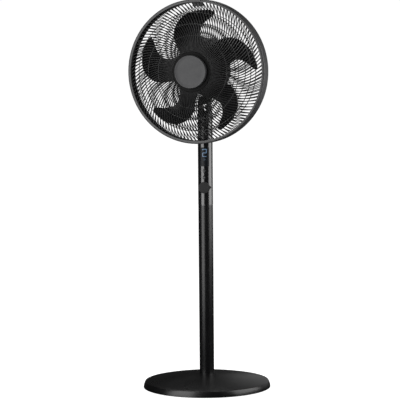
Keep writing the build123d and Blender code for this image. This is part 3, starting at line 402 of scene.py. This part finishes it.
def moulded_group():
    """Fine grain, broad patches and fine rubbed marks of a moulded or painted surface."""
    group = new_group(
        "Moulded surface", {"Grain size": 0.0006, "Patch size": 0.08}, ("Grain", "Patches", "Rubbing"))
    start, end = add(group, "NodeGroupInput"), add(group, "NodeGroupOutput")
    place = add(group, "ShaderNodeTexCoord").outputs["Object"]
    grain = noise(group, place, start.outputs["Grain size"], 3.0, 0.6)
    patches = ramp(group, noise(group, place, start.outputs["Patch size"], 4.0, 0.55), 0.35, 0.65)
    streak = add(group, "ShaderNodeMapping", in_Scale=(1.0, 1.0, 0.12), in_Rotation=(0.35, 0.2, 0.6))
    group.links.new(place, streak.inputs["Vector"])
    rubbing = ramp(group, noise(group, streak.outputs["Vector"], 0.004, 5.0, 0.7), 0.56, 0.74)
    group.links.new(grain, end.inputs["Grain"])
    group.links.new(patches, end.inputs["Patches"])
    group.links.new(rubbing, end.inputs["Rubbing"])
    return group


def dust_group():
    """A thin, uneven film on what faces up."""
    group = new_group("Settled dust", {"Amount": 0.1}, ("Dust",))
    start, end = add(group, "NodeGroupInput"), add(group, "NodeGroupOutput")
    coordinates = add(group, "ShaderNodeTexCoord")
    parts = add(group, "ShaderNodeSeparateXYZ")
    group.links.new(coordinates.outputs["Normal"], parts.inputs["Vector"])
    facing = ramp(group, parts.outputs["Z"], 0.3, 0.95)
    cloud = ramp(group, noise(group, coordinates.outputs["Object"], 0.03, 5.0, 0.65), 0.3, 0.8)
    film = math_node(group, "MULTIPLY", facing, cloud)
    group.links.new(math_node(group, "MULTIPLY", film, start.outputs["Amount"]), end.inputs["Dust"])
    return group


def lines_group():
    """Fine lines round the fan's axle or across it, as on turned metal, windings and stacked sheets."""
    group = new_group("Turned lines", {"Spacing": 0.001, "Across": 0.0}, ("Lines",))
    start, end = add(group, "NodeGroupInput"), add(group, "NodeGroupOutput")
    place = add(group, "ShaderNodeTexCoord").outputs["Object"]
    local = add(group, "ShaderNodeMapping", vector_type="TEXTURE", in_Location=AXLE)
    local.inputs["Rotation"].default_value = HEAD.to_euler()
    group.links.new(place, local.inputs["Vector"])
    parts = add(group, "ShaderNodeSeparateXYZ")
    group.links.new(local.outputs["Vector"], parts.inputs["Vector"])
    squares = math_node(
        group, "ADD", math_node(group, "POWER", parts.outputs["X"], 2.0),
        math_node(group, "POWER", parts.outputs["Y"], 2.0))
    distance = math_node(group, "SQRT", squares, 0.0)
    round_part = math_node(group, "MULTIPLY", distance, math_node(group, "SUBTRACT", 1.0, start.outputs["Across"]))
    along_part = math_node(group, "MULTIPLY", parts.outputs["Z"], start.outputs["Across"])
    turns = math_node(group, "DIVIDE", math_node(group, "ADD", round_part, along_part), start.outputs["Spacing"])
    wave = math_node(group, "SINE", math_node(group, "MULTIPLY", turns, 2.0 * math.pi), 0.0)
    group.links.new(ramp(group, wave, -1.0, 1.0), end.inputs["Lines"])
    return group


def place_group(tree, name, **values):
    """One of the shared groups, placed in a material with its own values."""
    made = tree.nodes.new("ShaderNodeGroup")
    made.node_tree = bpy.data.node_groups[name]
    for key, value in values.items():
        made.inputs[key.replace("_", " ").capitalize()].default_value = value
    return made.outputs


def blended(tree, factor, first, second):
    """A colour mixed by a factor socket, from colours or sockets."""
    made = add(tree, "ShaderNodeMix", data_type="RGBA")
    tree.links.new(factor, made.inputs["Factor"])
    for socket, value in ((made.inputs[6], first), (made.inputs[7], second)):
        if isinstance(value, bpy.types.NodeSocket):
            tree.links.new(value, socket)
        else:
            socket.default_value = (*value, 1.0)
    return made.outputs[2]


def scaled(colour, factor):
    return tuple(min(1.0, channel * factor) for channel in colour)


def surface(slot, colour, roughness, spread=0.3, rough_spread=0.08, grain=0.0006, relief=0.00002, patch=0.08,
            dust=0.0, rubbing=0.2, metallic=0.0, coat=0.0, coat_roughness=0.1, specular=0.5):
    """A moulded, painted or metal finish: uneven tone and gloss, fine grain, rubbing and a little dust."""
    material = bpy.data.materials.new("finish_" + slot)
    material.use_nodes = True
    tree = material.node_tree
    shader = tree.nodes["Principled BSDF"]
    marks = place_group(tree, "Moulded surface", grain_size=grain, patch_size=patch)
    tone = blended(tree, marks["Patches"], scaled(colour, 1.0 - spread), scaled(colour, 1.0 + spread))
    worn = scaled([channel + 0.004 for channel in colour], 1.5)
    tone = blended(tree, math_node(tree, "MULTIPLY", marks["Rubbing"], rubbing), tone, worn)
    if dust:
        film = place_group(tree, "Settled dust", amount=dust)
        tone = blended(tree, film["Dust"], tone, (0.32, 0.31, 0.29))
    tree.links.new(tone, shader.inputs["Base Color"])
    gloss = math_node(tree, "MULTIPLY", marks["Patches"], rough_spread)
    gloss = math_node(tree, "ADD", gloss, math_node(tree, "MULTIPLY", marks["Rubbing"], 0.06))
    tree.links.new(math_node(tree, "ADD", gloss, roughness), shader.inputs["Roughness"])
    if relief:
        bump = add(tree, "ShaderNodeBump", in_Strength=1.0, in_Distance=relief)
        tree.links.new(marks["Grain"], bump.inputs["Height"])
        tree.links.new(bump.outputs["Normal"], shader.inputs["Normal"])
    shader.inputs["Metallic"].default_value = metallic
    shader.inputs["Coat Weight"].default_value = coat
    shader.inputs["Coat Roughness"].default_value = coat_roughness
    shader.inputs["Specular IOR Level"].default_value = specular
    return material


def lined(slot, colour, roughness, spacing, across, depth=0.5, metallic=1.0):
    """A finish with lines round or along the axle: windings, stacked sheets, turned bearings."""
    material = surface(slot, colour, roughness, metallic=metallic, relief=0.0)
    tree = material.node_tree
    shader = tree.nodes["Principled BSDF"]
    lines = place_group(tree, "Turned lines", spacing=spacing, across=across)["Lines"]
    base = shader.inputs["Base Color"].links[0].from_socket
    shade = math_node(tree, "MULTIPLY", lines, depth)
    tree.links.new(blended(tree, shade, base, scaled(colour, 0.25)), shader.inputs["Base Color"])
    bump = add(tree, "ShaderNodeBump", in_Strength=1.0, in_Distance=spacing * 0.25)
    tree.links.new(lines, bump.inputs["Height"])
    tree.links.new(bump.outputs["Normal"], shader.inputs["Normal"])
    return material


def lit(name, colour, strength, hollow=0.25):
    """A lamp seen through a diffuser: a glow that is a little uneven."""
    material = bpy.data.materials.new(name)
    material.use_nodes = True
    tree = material.node_tree
    shader = tree.nodes["Principled BSDF"]
    marks = place_group(tree, "Moulded surface", grain_size=0.0008, patch_size=0.006)
    glow = blended(tree, marks["Patches"], scaled(colour, 1.0 - hollow), colour)
    tree.links.new(glow, shader.inputs["Emission Color"])
    tree.links.new(blended(tree, marks["Grain"], (0.03, 0.04, 0.05), (0.05, 0.06, 0.07)), shader.inputs["Base Color"])
    shader.inputs["Emission Strength"].default_value = strength
    shader.inputs["Roughness"].default_value = 0.3
    return material


def circuit_board():
    """Green laminate with fine lighter tracks."""
    material = surface("board", (0.02, 0.16, 0.07), 0.35, coat=0.5)
    tree = material.node_tree
    shader = tree.nodes["Principled BSDF"]
    place = add(tree, "ShaderNodeTexCoord").outputs["Object"]
    tracks = add(tree, "ShaderNodeTexBrick", in_Scale=120.0, in_Mortar_Size=0.03)
    turn = add(tree, "ShaderNodeMapping", in_Rotation=(math.radians(90.0), 0.0, 0.0))
    tree.links.new(place, turn.inputs["Vector"])
    tree.links.new(turn.outputs["Vector"], tracks.inputs["Vector"])
    base = shader.inputs["Base Color"].links[0].from_socket
    tree.links.new(blended(tree, tracks.outputs["Fac"], base, (0.10, 0.36, 0.16)), shader.inputs["Base Color"])
    return material


def make_finishes():
    """Every finish, one for each of the record's material slots."""
    moulded_group()
    dust_group()
    lines_group()
    colours = settings().fan_colours
    body, wires = tuple(colours.body), tuple(colours.wires)
    surface("base_plastic", tuple(colours.base), 0.27, spread=0.2, rough_spread=0.06, grain=0.0012, relief=0.000008,
            patch=0.12, dust=0.01, rubbing=0.15)
    surface("pole_paint", tuple(colours.pole), 0.24, spread=0.15, rough_spread=0.04, grain=0.0016, relief=0.000008,
            patch=0.15, rubbing=0.1)
    surface("column_plastic", tuple(colours.pole), 0.22, spread=0.15, rough_spread=0.04, grain=0.002,
            relief=0.000006, patch=0.1, rubbing=0.1, coat=1.0, coat_roughness=0.12)
    surface("window", (0.003, 0.0045, 0.0065), 0.42, spread=0.2, rough_spread=0.03, grain=0.003, relief=0.0,
            patch=0.03, rubbing=0.05, specular=0.25)
    surface("key_plastic", scaled(colours.pole, 1.6), 0.24, spread=0.15, relief=0.000005, coat=0.8,
            coat_roughness=0.14)
    surface("dial_plastic", tuple(colours.dial), 0.62, spread=0.12, grain=0.0005, relief=0.00003, rubbing=0.15)
    surface("housing_plastic", body, 0.45, spread=0.2, grain=0.0007, relief=0.00003, dust=0.03)
    surface("guard_steel", wires, 0.34, spread=0.25, grain=0.001, relief=0.00001, patch=0.05, dust=0.03,
            specular=0.9)
    surface("guard_plate", scaled(wires, 0.2), 0.60, spread=0.2, grain=0.0008, relief=0.00002, dust=0.01,
            specular=0.15)
    surface("cap_plastic", tuple(colours.cap), 0.46, spread=0.12, grain=0.0005, relief=0.00002, patch=0.03,
            rubbing=0.2)
    surface("band_plastic", tuple(colours.band), 0.36, spread=0.12, grain=0.0008, relief=0.000015, patch=0.1,
            dust=0.04, rubbing=0.15)
    surface("blade_plastic", tuple(colours.blades), 0.24, spread=0.2, grain=0.0015, relief=0.00001, patch=0.08,
            dust=0.01, rubbing=0.2)
    surface("under_plastic", scaled(body, 2.0), 0.55, grain=0.0006, relief=0.00004)
    surface("rubber", (0.018, 0.018, 0.018), 0.75, grain=0.0009, relief=0.00006, rubbing=0.4)
    surface("ballast_iron", (0.10, 0.095, 0.09), 0.6, metallic=0.8, grain=0.002, relief=0.0002, spread=0.4)
    surface("screw_steel", (0.52, 0.52, 0.50), 0.30, metallic=1.0, grain=0.0004, relief=0.00001)
    surface("black_screw", (0.03, 0.03, 0.03), 0.35, metallic=1.0, grain=0.0004, relief=0.00001, rubbing=0.5)
    surface("socket_steel", (0.36, 0.36, 0.37), 0.38, metallic=1.0, grain=0.0012, relief=0.00002)
    surface("module", (0.035, 0.036, 0.038), 0.5, grain=0.0006)
    surface("switch_plastic", (0.05, 0.05, 0.05), 0.5, grain=0.0005)
    surface("wire_sheath", (0.03, 0.03, 0.03), 0.5, grain=0.0008)
    surface("shaft_steel", (0.58, 0.58, 0.58), 0.22, metallic=1.0, grain=0.0005, relief=0.000006)
    surface("motor_can", (0.60, 0.60, 0.58), 0.35, metallic=1.0, grain=0.001, relief=0.00001)
    surface("acetal", (0.74, 0.74, 0.70), 0.42, spread=0.06, grain=0.0008)
    surface("cast_alloy", (0.55, 0.55, 0.56), 0.48, metallic=1.0, grain=0.0012, relief=0.00008, spread=0.2)
    surface("capacitor_case", (0.66, 0.66, 0.62), 0.45, spread=0.08, grain=0.0008)
    lined("bearing_steel", (0.68, 0.68, 0.68), 0.18, 0.0006, 0.0, depth=0.2)
    lined("lamination", (0.28, 0.28, 0.29), 0.45, 0.0010, 1.0, depth=0.6)
    lined("copper", (0.62, 0.25, 0.10), 0.30, 0.0008, 0.0, depth=0.45)
    circuit_board()
    surface("mark_print", (0.12, 0.13, 0.14), 0.5, spread=0.1, relief=0.0)
    surface("mark_ring", (0.0015, 0.0015, 0.0015), 0.7, spread=0.1, relief=0.0, specular=0.1)
    lit("finish_numeral_glow", tuple(colours.glow), 1.0)
    lit("finish_icon_glow", scaled(colours.glow, 0.35), 0.6)
    for node, slot in SLOT_OF.items():
        paint(frame["nodes"][node], finish_of(slot))


# ---------------------------------------------------------------- marks on the column
def on_column(across, height, radius):
    """A point on the column's front from its unrolled place."""
    turn = across / radius
    return Vector((radius * math.sin(turn), -radius * math.cos(turn), height))


def softened(corners, radius):
    """Corner points with a helper point on each side, so that a smooth path turns closely at them."""
    points = [corners[0]]
    for before, here, after in zip(corners, corners[1:], corners[2:]):
        for other in (before, after):
            away = Vector(other) - Vector(here)
            points.append(tuple(Vector(here) + away.normalized() * min(radius, away.length / 2.5)))
            if other is before:
                points.append(here)
    points.append(corners[-1])
    return points


def stroke(name, flat_path, radius, half_width, proud, material, body, slot):
    """A flat stroke that follows the column's surface, from its unrolled path."""
    places = [on_column(across, height, radius) for across, height in flat_path]
    piece = bent_wire(name, places, half_width, 2, 6)
    for vertex in piece.data.vertices:
        flat = Vector((vertex.co.x, vertex.co.y))
        off = (flat.length - radius) / half_width
        flat *= (radius + off * proud) / flat.length
        vertex.co.x, vertex.co.y = flat
    smooth(piece, MARK_SMOOTH_ANGLE)
    paint(piece, material)
    return seat(piece, body, slot)


def numeral():
    """The lit speed numeral: a rounded 2 in the upper part of the window."""
    sizes = settings().fan_sizes
    half = sizes.numeral_width / 2 - sizes.numeral_stroke
    rise = sizes.numeral_height / 2 - sizes.numeral_stroke
    middle = WINDOW_HIGH - NUMERAL_DROP
    corners = [
        (-half, middle + rise * 0.72), (-half, middle + rise), (half, middle + rise), (half, middle),
        (-half, middle), (-half, middle - rise), (half, middle - rise),
    ]
    path = softened(corners, sizes.numeral_width * 0.22)
    return stroke("lit_numeral", path, COLUMN_RADIUS, sizes.numeral_stroke, LIT_PROUD,
                  bpy.data.materials["finish_numeral_glow"], "stand", "window")


def airflow_icon():
    """Three small curved strokes round a point, the usual mark for moving air."""
    centre = WINDOW_LOW + ICON_RISE
    strokes = []
    for index in range(3):
        turn = math.radians(90.0 + 120.0 * index)
        path = []
        for share in (0.0, 0.35, 0.7, 1.0):
            out = ICON_REACH * share
            side = ICON_BEND * math.sin(share * math.pi)
            path.append((out * math.cos(turn) - side * math.sin(turn),
                         centre + out * math.sin(turn) + side * math.cos(turn)))
        strokes.append(stroke(f"icon_stroke_{index}", path, COLUMN_RADIUS, ICON_STROKE, ICON_PROUD,
                              bpy.data.materials["finish_icon_glow"], "stand", "window"))
    return join(strokes, "lit_icon")


def ring_path(centre, radius, start, sweep, count):
    """Places round a circle, unrolled, from one angle through another."""
    turns = [start + sweep * index / (count - 1) for index in range(count)]
    return [(radius * math.cos(turn), centre + radius * math.sin(turn)) for turn in turns]


def key_marks():
    """Printed outlines on the two keys: a power mark above and a mode ring below."""
    sizes = settings().fan_sizes
    for node, body, name in (("power_button", "power_key", "power_mark"), ("mode_button", "mode_key", "mode_mark")):
        low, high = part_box(node)
        centre = (low.z + high.z) / 2
        surface_radius = -low.y
        outline = ring_path(centre, KEY_RING_RADIUS, 0.0, 2.0 * math.pi, 25)
        ring = stroke(name + "_outline", outline, surface_radius, sizes.outline_stroke, PRINT_PROUD,
                      finish_of("mark_ring"), body, "key_plastic")
        parts = []
        if node == "power_button":
            arc = ring_path(
                centre, POWER_ARC_RADIUS, math.radians(90.0) + POWER_GAP, 2.0 * math.pi - 2 * POWER_GAP, 15)
            parts.append((arc, "arc"))
            parts.append(([(0.0, centre + 0.0004), (0.0, centre + 0.0026)], "bar"))
        else:
            for shift in (-0.0014, 0.0, 0.0014):
                wave = [(-0.0022, centre + shift), (-0.0008, centre + shift + 0.0005),
                        (0.0008, centre + shift - 0.0005), (0.0022, centre + shift)]
                parts.append((wave, f"wave{shift * 1000:+.1f}"))
        made = [
            stroke(f"{name}_{label}", path, surface_radius, sizes.mark_stroke, PRINT_PROUD,
                   finish_of("mark_print"), body, "key_plastic")
            for path, label in parts
        ]
        join([ring] + made, name)


# ---------------------------------------------------------------- guards
def wire_places(shape, hub_radius, hub_depth, root_radius):
    """Where a guard wire runs, leaning further round as it nears the band."""
    end = BAND_RADIUS - WIRE_INSET
    inner_edge = BAND_RADIUS - BAND_LIP
    lean = math.tan(RIM_LEAN) / (inner_edge - root_radius)
    places = []
    for share, ahead in shape:
        radius = hub_radius + share * (end - hub_radius)
        turn = lean * ((radius - root_radius) - root_radius * math.log(radius / root_radius))
        places.append(HEAD @ Vector((radius * math.cos(turn), radius * math.sin(turn), hub_depth + ahead)))
    return places


def guard(name, node, shape, hub_radius, hub_depth, root_radius):
    """All the wires of one guard: one bent wire, copied round the axle and joined."""
    sizes = settings().fan_sizes
    places = wire_places(shape, hub_radius, hub_depth, root_radius)
    first = bent_wire(name + "_first", places, sizes.wire_radius, sizes.wire_sides, 3)
    settle(first)
    step = 2.0 * math.pi / sizes.wire_count
    others = [turned_copy(first, step * index) for index in range(1, sizes.wire_count)]
    piece = join([first] + others, name)
    smooth(piece, MARK_SMOOTH_ANGLE)
    paint(piece, finish_of(SLOT_OF[node]))
    return seat(piece, BODY_OF[node], SLOT_OF[node], node)


# ---------------------------------------------------------------- studio
def toward(turn, distance, height):
    """A place round the column: turn is from straight ahead towards the right."""
    return Vector((distance * math.sin(turn), -distance * math.cos(turn), height))


def face(thing, target):
    thing.rotation_mode = "QUATERNION"
    thing.rotation_quaternion = (Vector(target) - thing.location).to_track_quat("-Z", "Y")


def softbox(name, turn, distance, height, width, tall, brightness, target):
    """A rectangular light that shows in reflections but not to the camera."""
    bpy.ops.object.light_add(type="AREA", location=toward(turn, distance, height))
    lamp = bpy.context.object
    lamp.name = name
    lamp.data.shape = "RECTANGLE"
    lamp.data.size = width
    lamp.data.size_y = tall
    lamp.data.energy = brightness * math.pi * width * tall
    lamp.visible_camera = False
    face(lamp, target)
    return lamp


def floor_material():
    """Pale, slightly glossy studio floor that stays white to the camera."""
    material = bpy.data.materials.new("studio_floor")
    material.use_nodes = True
    tree = material.node_tree
    shader = tree.nodes["Principled BSDF"]
    place = add(tree, "ShaderNodeTexCoord").outputs["Object"]
    tone = blended(tree, noise(tree, place, 0.6, 3.0), (0.72, 0.72, 0.72), (0.76, 0.76, 0.76))
    tree.links.new(tone, shader.inputs["Base Color"])
    shader.inputs["Roughness"].default_value = 0.30
    shader.inputs["Specular IOR Level"].default_value = 0.35
    shader.inputs["Emission Color"].default_value = (1.0, 1.0, 1.0, 1.0)
    seen = add(tree, "ShaderNodeLightPath").outputs["Is Camera Ray"]
    tree.links.new(math_node(tree, "MULTIPLY", seen, 0.95), shader.inputs["Emission Strength"])
    return material


def studio_world():
    """White to the camera, dim in reflections, and a soft fill for matt surfaces."""
    world = bpy.data.worlds.new("studio_world")
    bpy.context.scene.world = world
    world.use_nodes = True
    tree = world.node_tree
    backdrop = tree.nodes["Background"]
    path = add(tree, "ShaderNodeLightPath")
    fill = math_node(tree, "MULTIPLY", path.outputs["Is Diffuse Ray"], 0.25)
    seen = math_node(tree, "ADD", fill, path.outputs["Is Camera Ray"])
    level = math_node(tree, "ADD", seen, settings().fan_studio.dim_world)
    backdrop.inputs["Color"].default_value = (1.0, 1.0, 1.0, 1.0)
    tree.links.new(level, backdrop.inputs["Strength"])


def studio():
    look = settings().fan_studio
    bpy.ops.mesh.primitive_plane_add(size=60.0, location=(0.0, 0.0, 0.0))
    ground = bpy.context.object
    ground.name = "studio_floor"
    paint(ground, floor_material())
    ground.visible_glossy = False
    studio_world()
    turn = look.camera_turn
    across = Vector((math.cos(turn), math.sin(turn), 0.0))
    aim = Vector((0.0, 0.0, look.aim_height)) - look.aim_side * across
    lights = [(box, look.box_light) for box in SOFTBOXES] + [(BACK_PANEL, look.panel_light)]
    for (name, swing, distance, height, width, tall, share, faces), light in lights:
        softbox(name, turn + swing, distance, height, width, tall, light * share, (0.0, 0.0, faces))
    bpy.ops.object.camera_add(location=toward(turn, look.camera_distance, look.camera_height))
    camera = bpy.context.object
    camera.name = "view_camera"
    span = (aim - camera.location).length
    camera.data.sensor_width = SENSOR_WIDTH
    camera.data.lens = SENSOR_WIDTH * span / look.view_width
    face(camera, aim)
    camera.rotation_quaternion = camera.rotation_quaternion @ Quaternion((0.0, 0.0, 1.0), -look.roll)
    bpy.context.scene.camera = camera
    bpy.context.scene.view_settings.view_transform = "Standard"


# ---------------------------------------------------------------- operators
class FAN_OT_finishes(bpy.types.Operator):
    """Make every surface finish and give each frame node its own."""

    bl_idname = "fan.finishes"
    bl_label = "Finishes"

    def execute(self, context):
        make_finishes()
        return {"FINISHED"}


class FAN_OT_base(bpy.types.Operator):
    """Dress the weighted base: domed cover, foot ring, underside and cord gland."""

    bl_idname = "fan.base"
    bl_label = "Base"

    def execute(self, context):
        skin("base_cover", "base_shell")
        skin("foot_ring", "base_foot")
        skin("base_bottom_plate", "base_underside")
        skin("cord_gland", "cord_entry")
        return {"FINISHED"}


class FAN_OT_pole(bpy.types.Operator):
    """Dress the painted pole and its set screws."""

    bl_idname = "fan.pole"
    bl_label = "Pole"

    def execute(self, context):
        skin("lower_pole", "painted_pole")
        skin("pole_set_screws", "pole_grub_screws")
        return {"FINISHED"}


class FAN_OT_column(bpy.types.Operator):
    """Dress the control column: two shells, window, keys and dial."""

    bl_idname = "fan.column"
    bl_label = "Control column"

    def execute(self, context):
        skin("column_front", "column_front_shell")
        skin("column_rear", "column_rear_shell")
        skin("column_screws", "column_fasteners")
        skin("display_window", "smoked_window")
        skin("power_button", "power_key_cap")
        skin("mode_button", "mode_key_cap")
        skin("dial", "selector_dial")
        return {"FINISHED"}


class FAN_OT_marks(bpy.types.Operator):
    """Add the lit numeral, the lit airflow mark and the marks printed on the keys."""

    bl_idname = "fan.marks"
    bl_label = "Display and key marks"

    def execute(self, context):
        numeral()
        airflow_icon()
        key_marks()
        return {"FINISHED"}


class FAN_OT_neck(bpy.types.Operator):
    """Dress the yoke, the tilt bracket and their bolt and screws."""

    bl_idname = "fan.neck"
    bl_label = "Neck"

    def execute(self, context):
        skin("neck_yoke", "neck_fork")
        skin("tilt_bracket", "tilt_saddle")
        skin("tilt_bolt", "tilt_pivot_bolt")
        skin("tilt_washers", "tilt_friction_washers")
        skin("head_screws", "head_fasteners")
        return {"FINISHED"}


class FAN_OT_housing(bpy.types.Operator):
    """Dress the motor housing and its carry handle."""

    bl_idname = "fan.housing"
    bl_label = "Motor housing"

    def execute(self, context):
        skin("motor_front_cover", "motor_front_shell")
        skin("motor_rear_cover", "motor_rear_shell")
        skin("carry_handle", "carry_grip")
        skin("guard_nut", "guard_locking_nut")
        return {"FINISHED"}


class FAN_OT_guards(bpy.types.Operator):
    """Bend the wires of both guards, and dress their rings, rims and hub plates."""

    bl_idname = "fan.guards"
    bl_label = "Guards"

    def execute(self, context):
        front_root = FRONT_HUB_RADIUS + FRONT_ROOT_GAP
        guard("front_wire_cage", "front_guard_wires", FRONT_WIRE, front_root, FRONT_HUB_BACK, front_root)
        guard("rear_wire_cage", "rear_guard_wires", REAR_WIRE, REAR_HUB_RADIUS + REAR_ROOT_GAP, REAR_HUB_FRONT,
              REAR_HUB_RADIUS - REAR_FOOT)
        skin("guard_rings", "cage_rings")
        skin("guard_rims", "cage_rims")
        skin("front_guard_hub", "front_hub_plate")
        skin("rear_guard_hub", "rear_hub_plate")
        skin("front_cap", "front_cap_cover")
        return {"FINISHED"}


class FAN_OT_band(bpy.types.Operator):
    """Dress the outer band, its clips and its latch."""

    bl_idname = "fan.band"
    bl_label = "Outer band"

    def execute(self, context):
        skin("guard_band", "outer_band")
        skin("guard_clips", "band_clips")
        skin("guard_latch", "band_latch")
        skin("latch_pin", "band_latch_pin")
        return {"FINISHED"}


class FAN_OT_blades(bpy.types.Operator):
    """Dress the blades, the spinner nut and the motor's shaft."""

    bl_idname = "fan.blades"
    bl_label = "Blades"

    def execute(self, context):
        skin("fan_blade", "five_blade_fan", BLADE_SMOOTH_ANGLE)
        skin("spinner_nut", "spinner")
        skin("rotor_shaft", "turned_shaft")
        return {"FINISHED"}


class FAN_OT_studio(bpy.types.Operator):
    """Set up the pale floor, the softboxes, the room and the camera."""

    bl_idname = "fan.studio"
    bl_label = "Studio"

    def execute(self, context):
        studio()
        return {"FINISHED"}


OPERATORS = (
    FAN_OT_finishes, FAN_OT_base, FAN_OT_pole, FAN_OT_column, FAN_OT_marks, FAN_OT_neck, FAN_OT_housing,
    FAN_OT_guards, FAN_OT_band, FAN_OT_blades, FAN_OT_studio,
)


class FAN_PT_panel(bpy.types.Panel):
    """Sidebar panel that lists the fan's steps and settings."""

    bl_idname = "FAN_PT_panel"
    bl_label = "Pedestal Fan"
    bl_space_type = "VIEW_3D"
    bl_region_type = "UI"
    bl_category = "Fan"

    def draw(self, context):
        for each in OPERATORS:
            self.layout.operator(each.bl_idname)
        for group in (context.scene.fan_sizes, context.scene.fan_colours, context.scene.fan_studio):
            box = self.layout.box()
            for name in group.__annotations__:
                box.prop(group, name)


CLASSES = (FanSizes, FanColours, FanStudio, *OPERATORS, FAN_PT_panel)


def register():
    for each in CLASSES:
        bpy.utils.register_class(each)
    bpy.types.Scene.fan_sizes = PointerProperty(type=FanSizes)
    bpy.types.Scene.fan_colours = PointerProperty(type=FanColours)
    bpy.types.Scene.fan_studio = PointerProperty(type=FanStudio)


def unregister():
    del bpy.types.Scene.fan_studio
    del bpy.types.Scene.fan_colours
    del bpy.types.Scene.fan_sizes
    for each in reversed(CLASSES):
        bpy.utils.unregister_class(each)


def main():
    register()
    for each in OPERATORS:
        group, name = each.bl_idname.split(".")
        getattr(getattr(bpy.ops, group), name)()


if __name__ == "__main__":
    main()
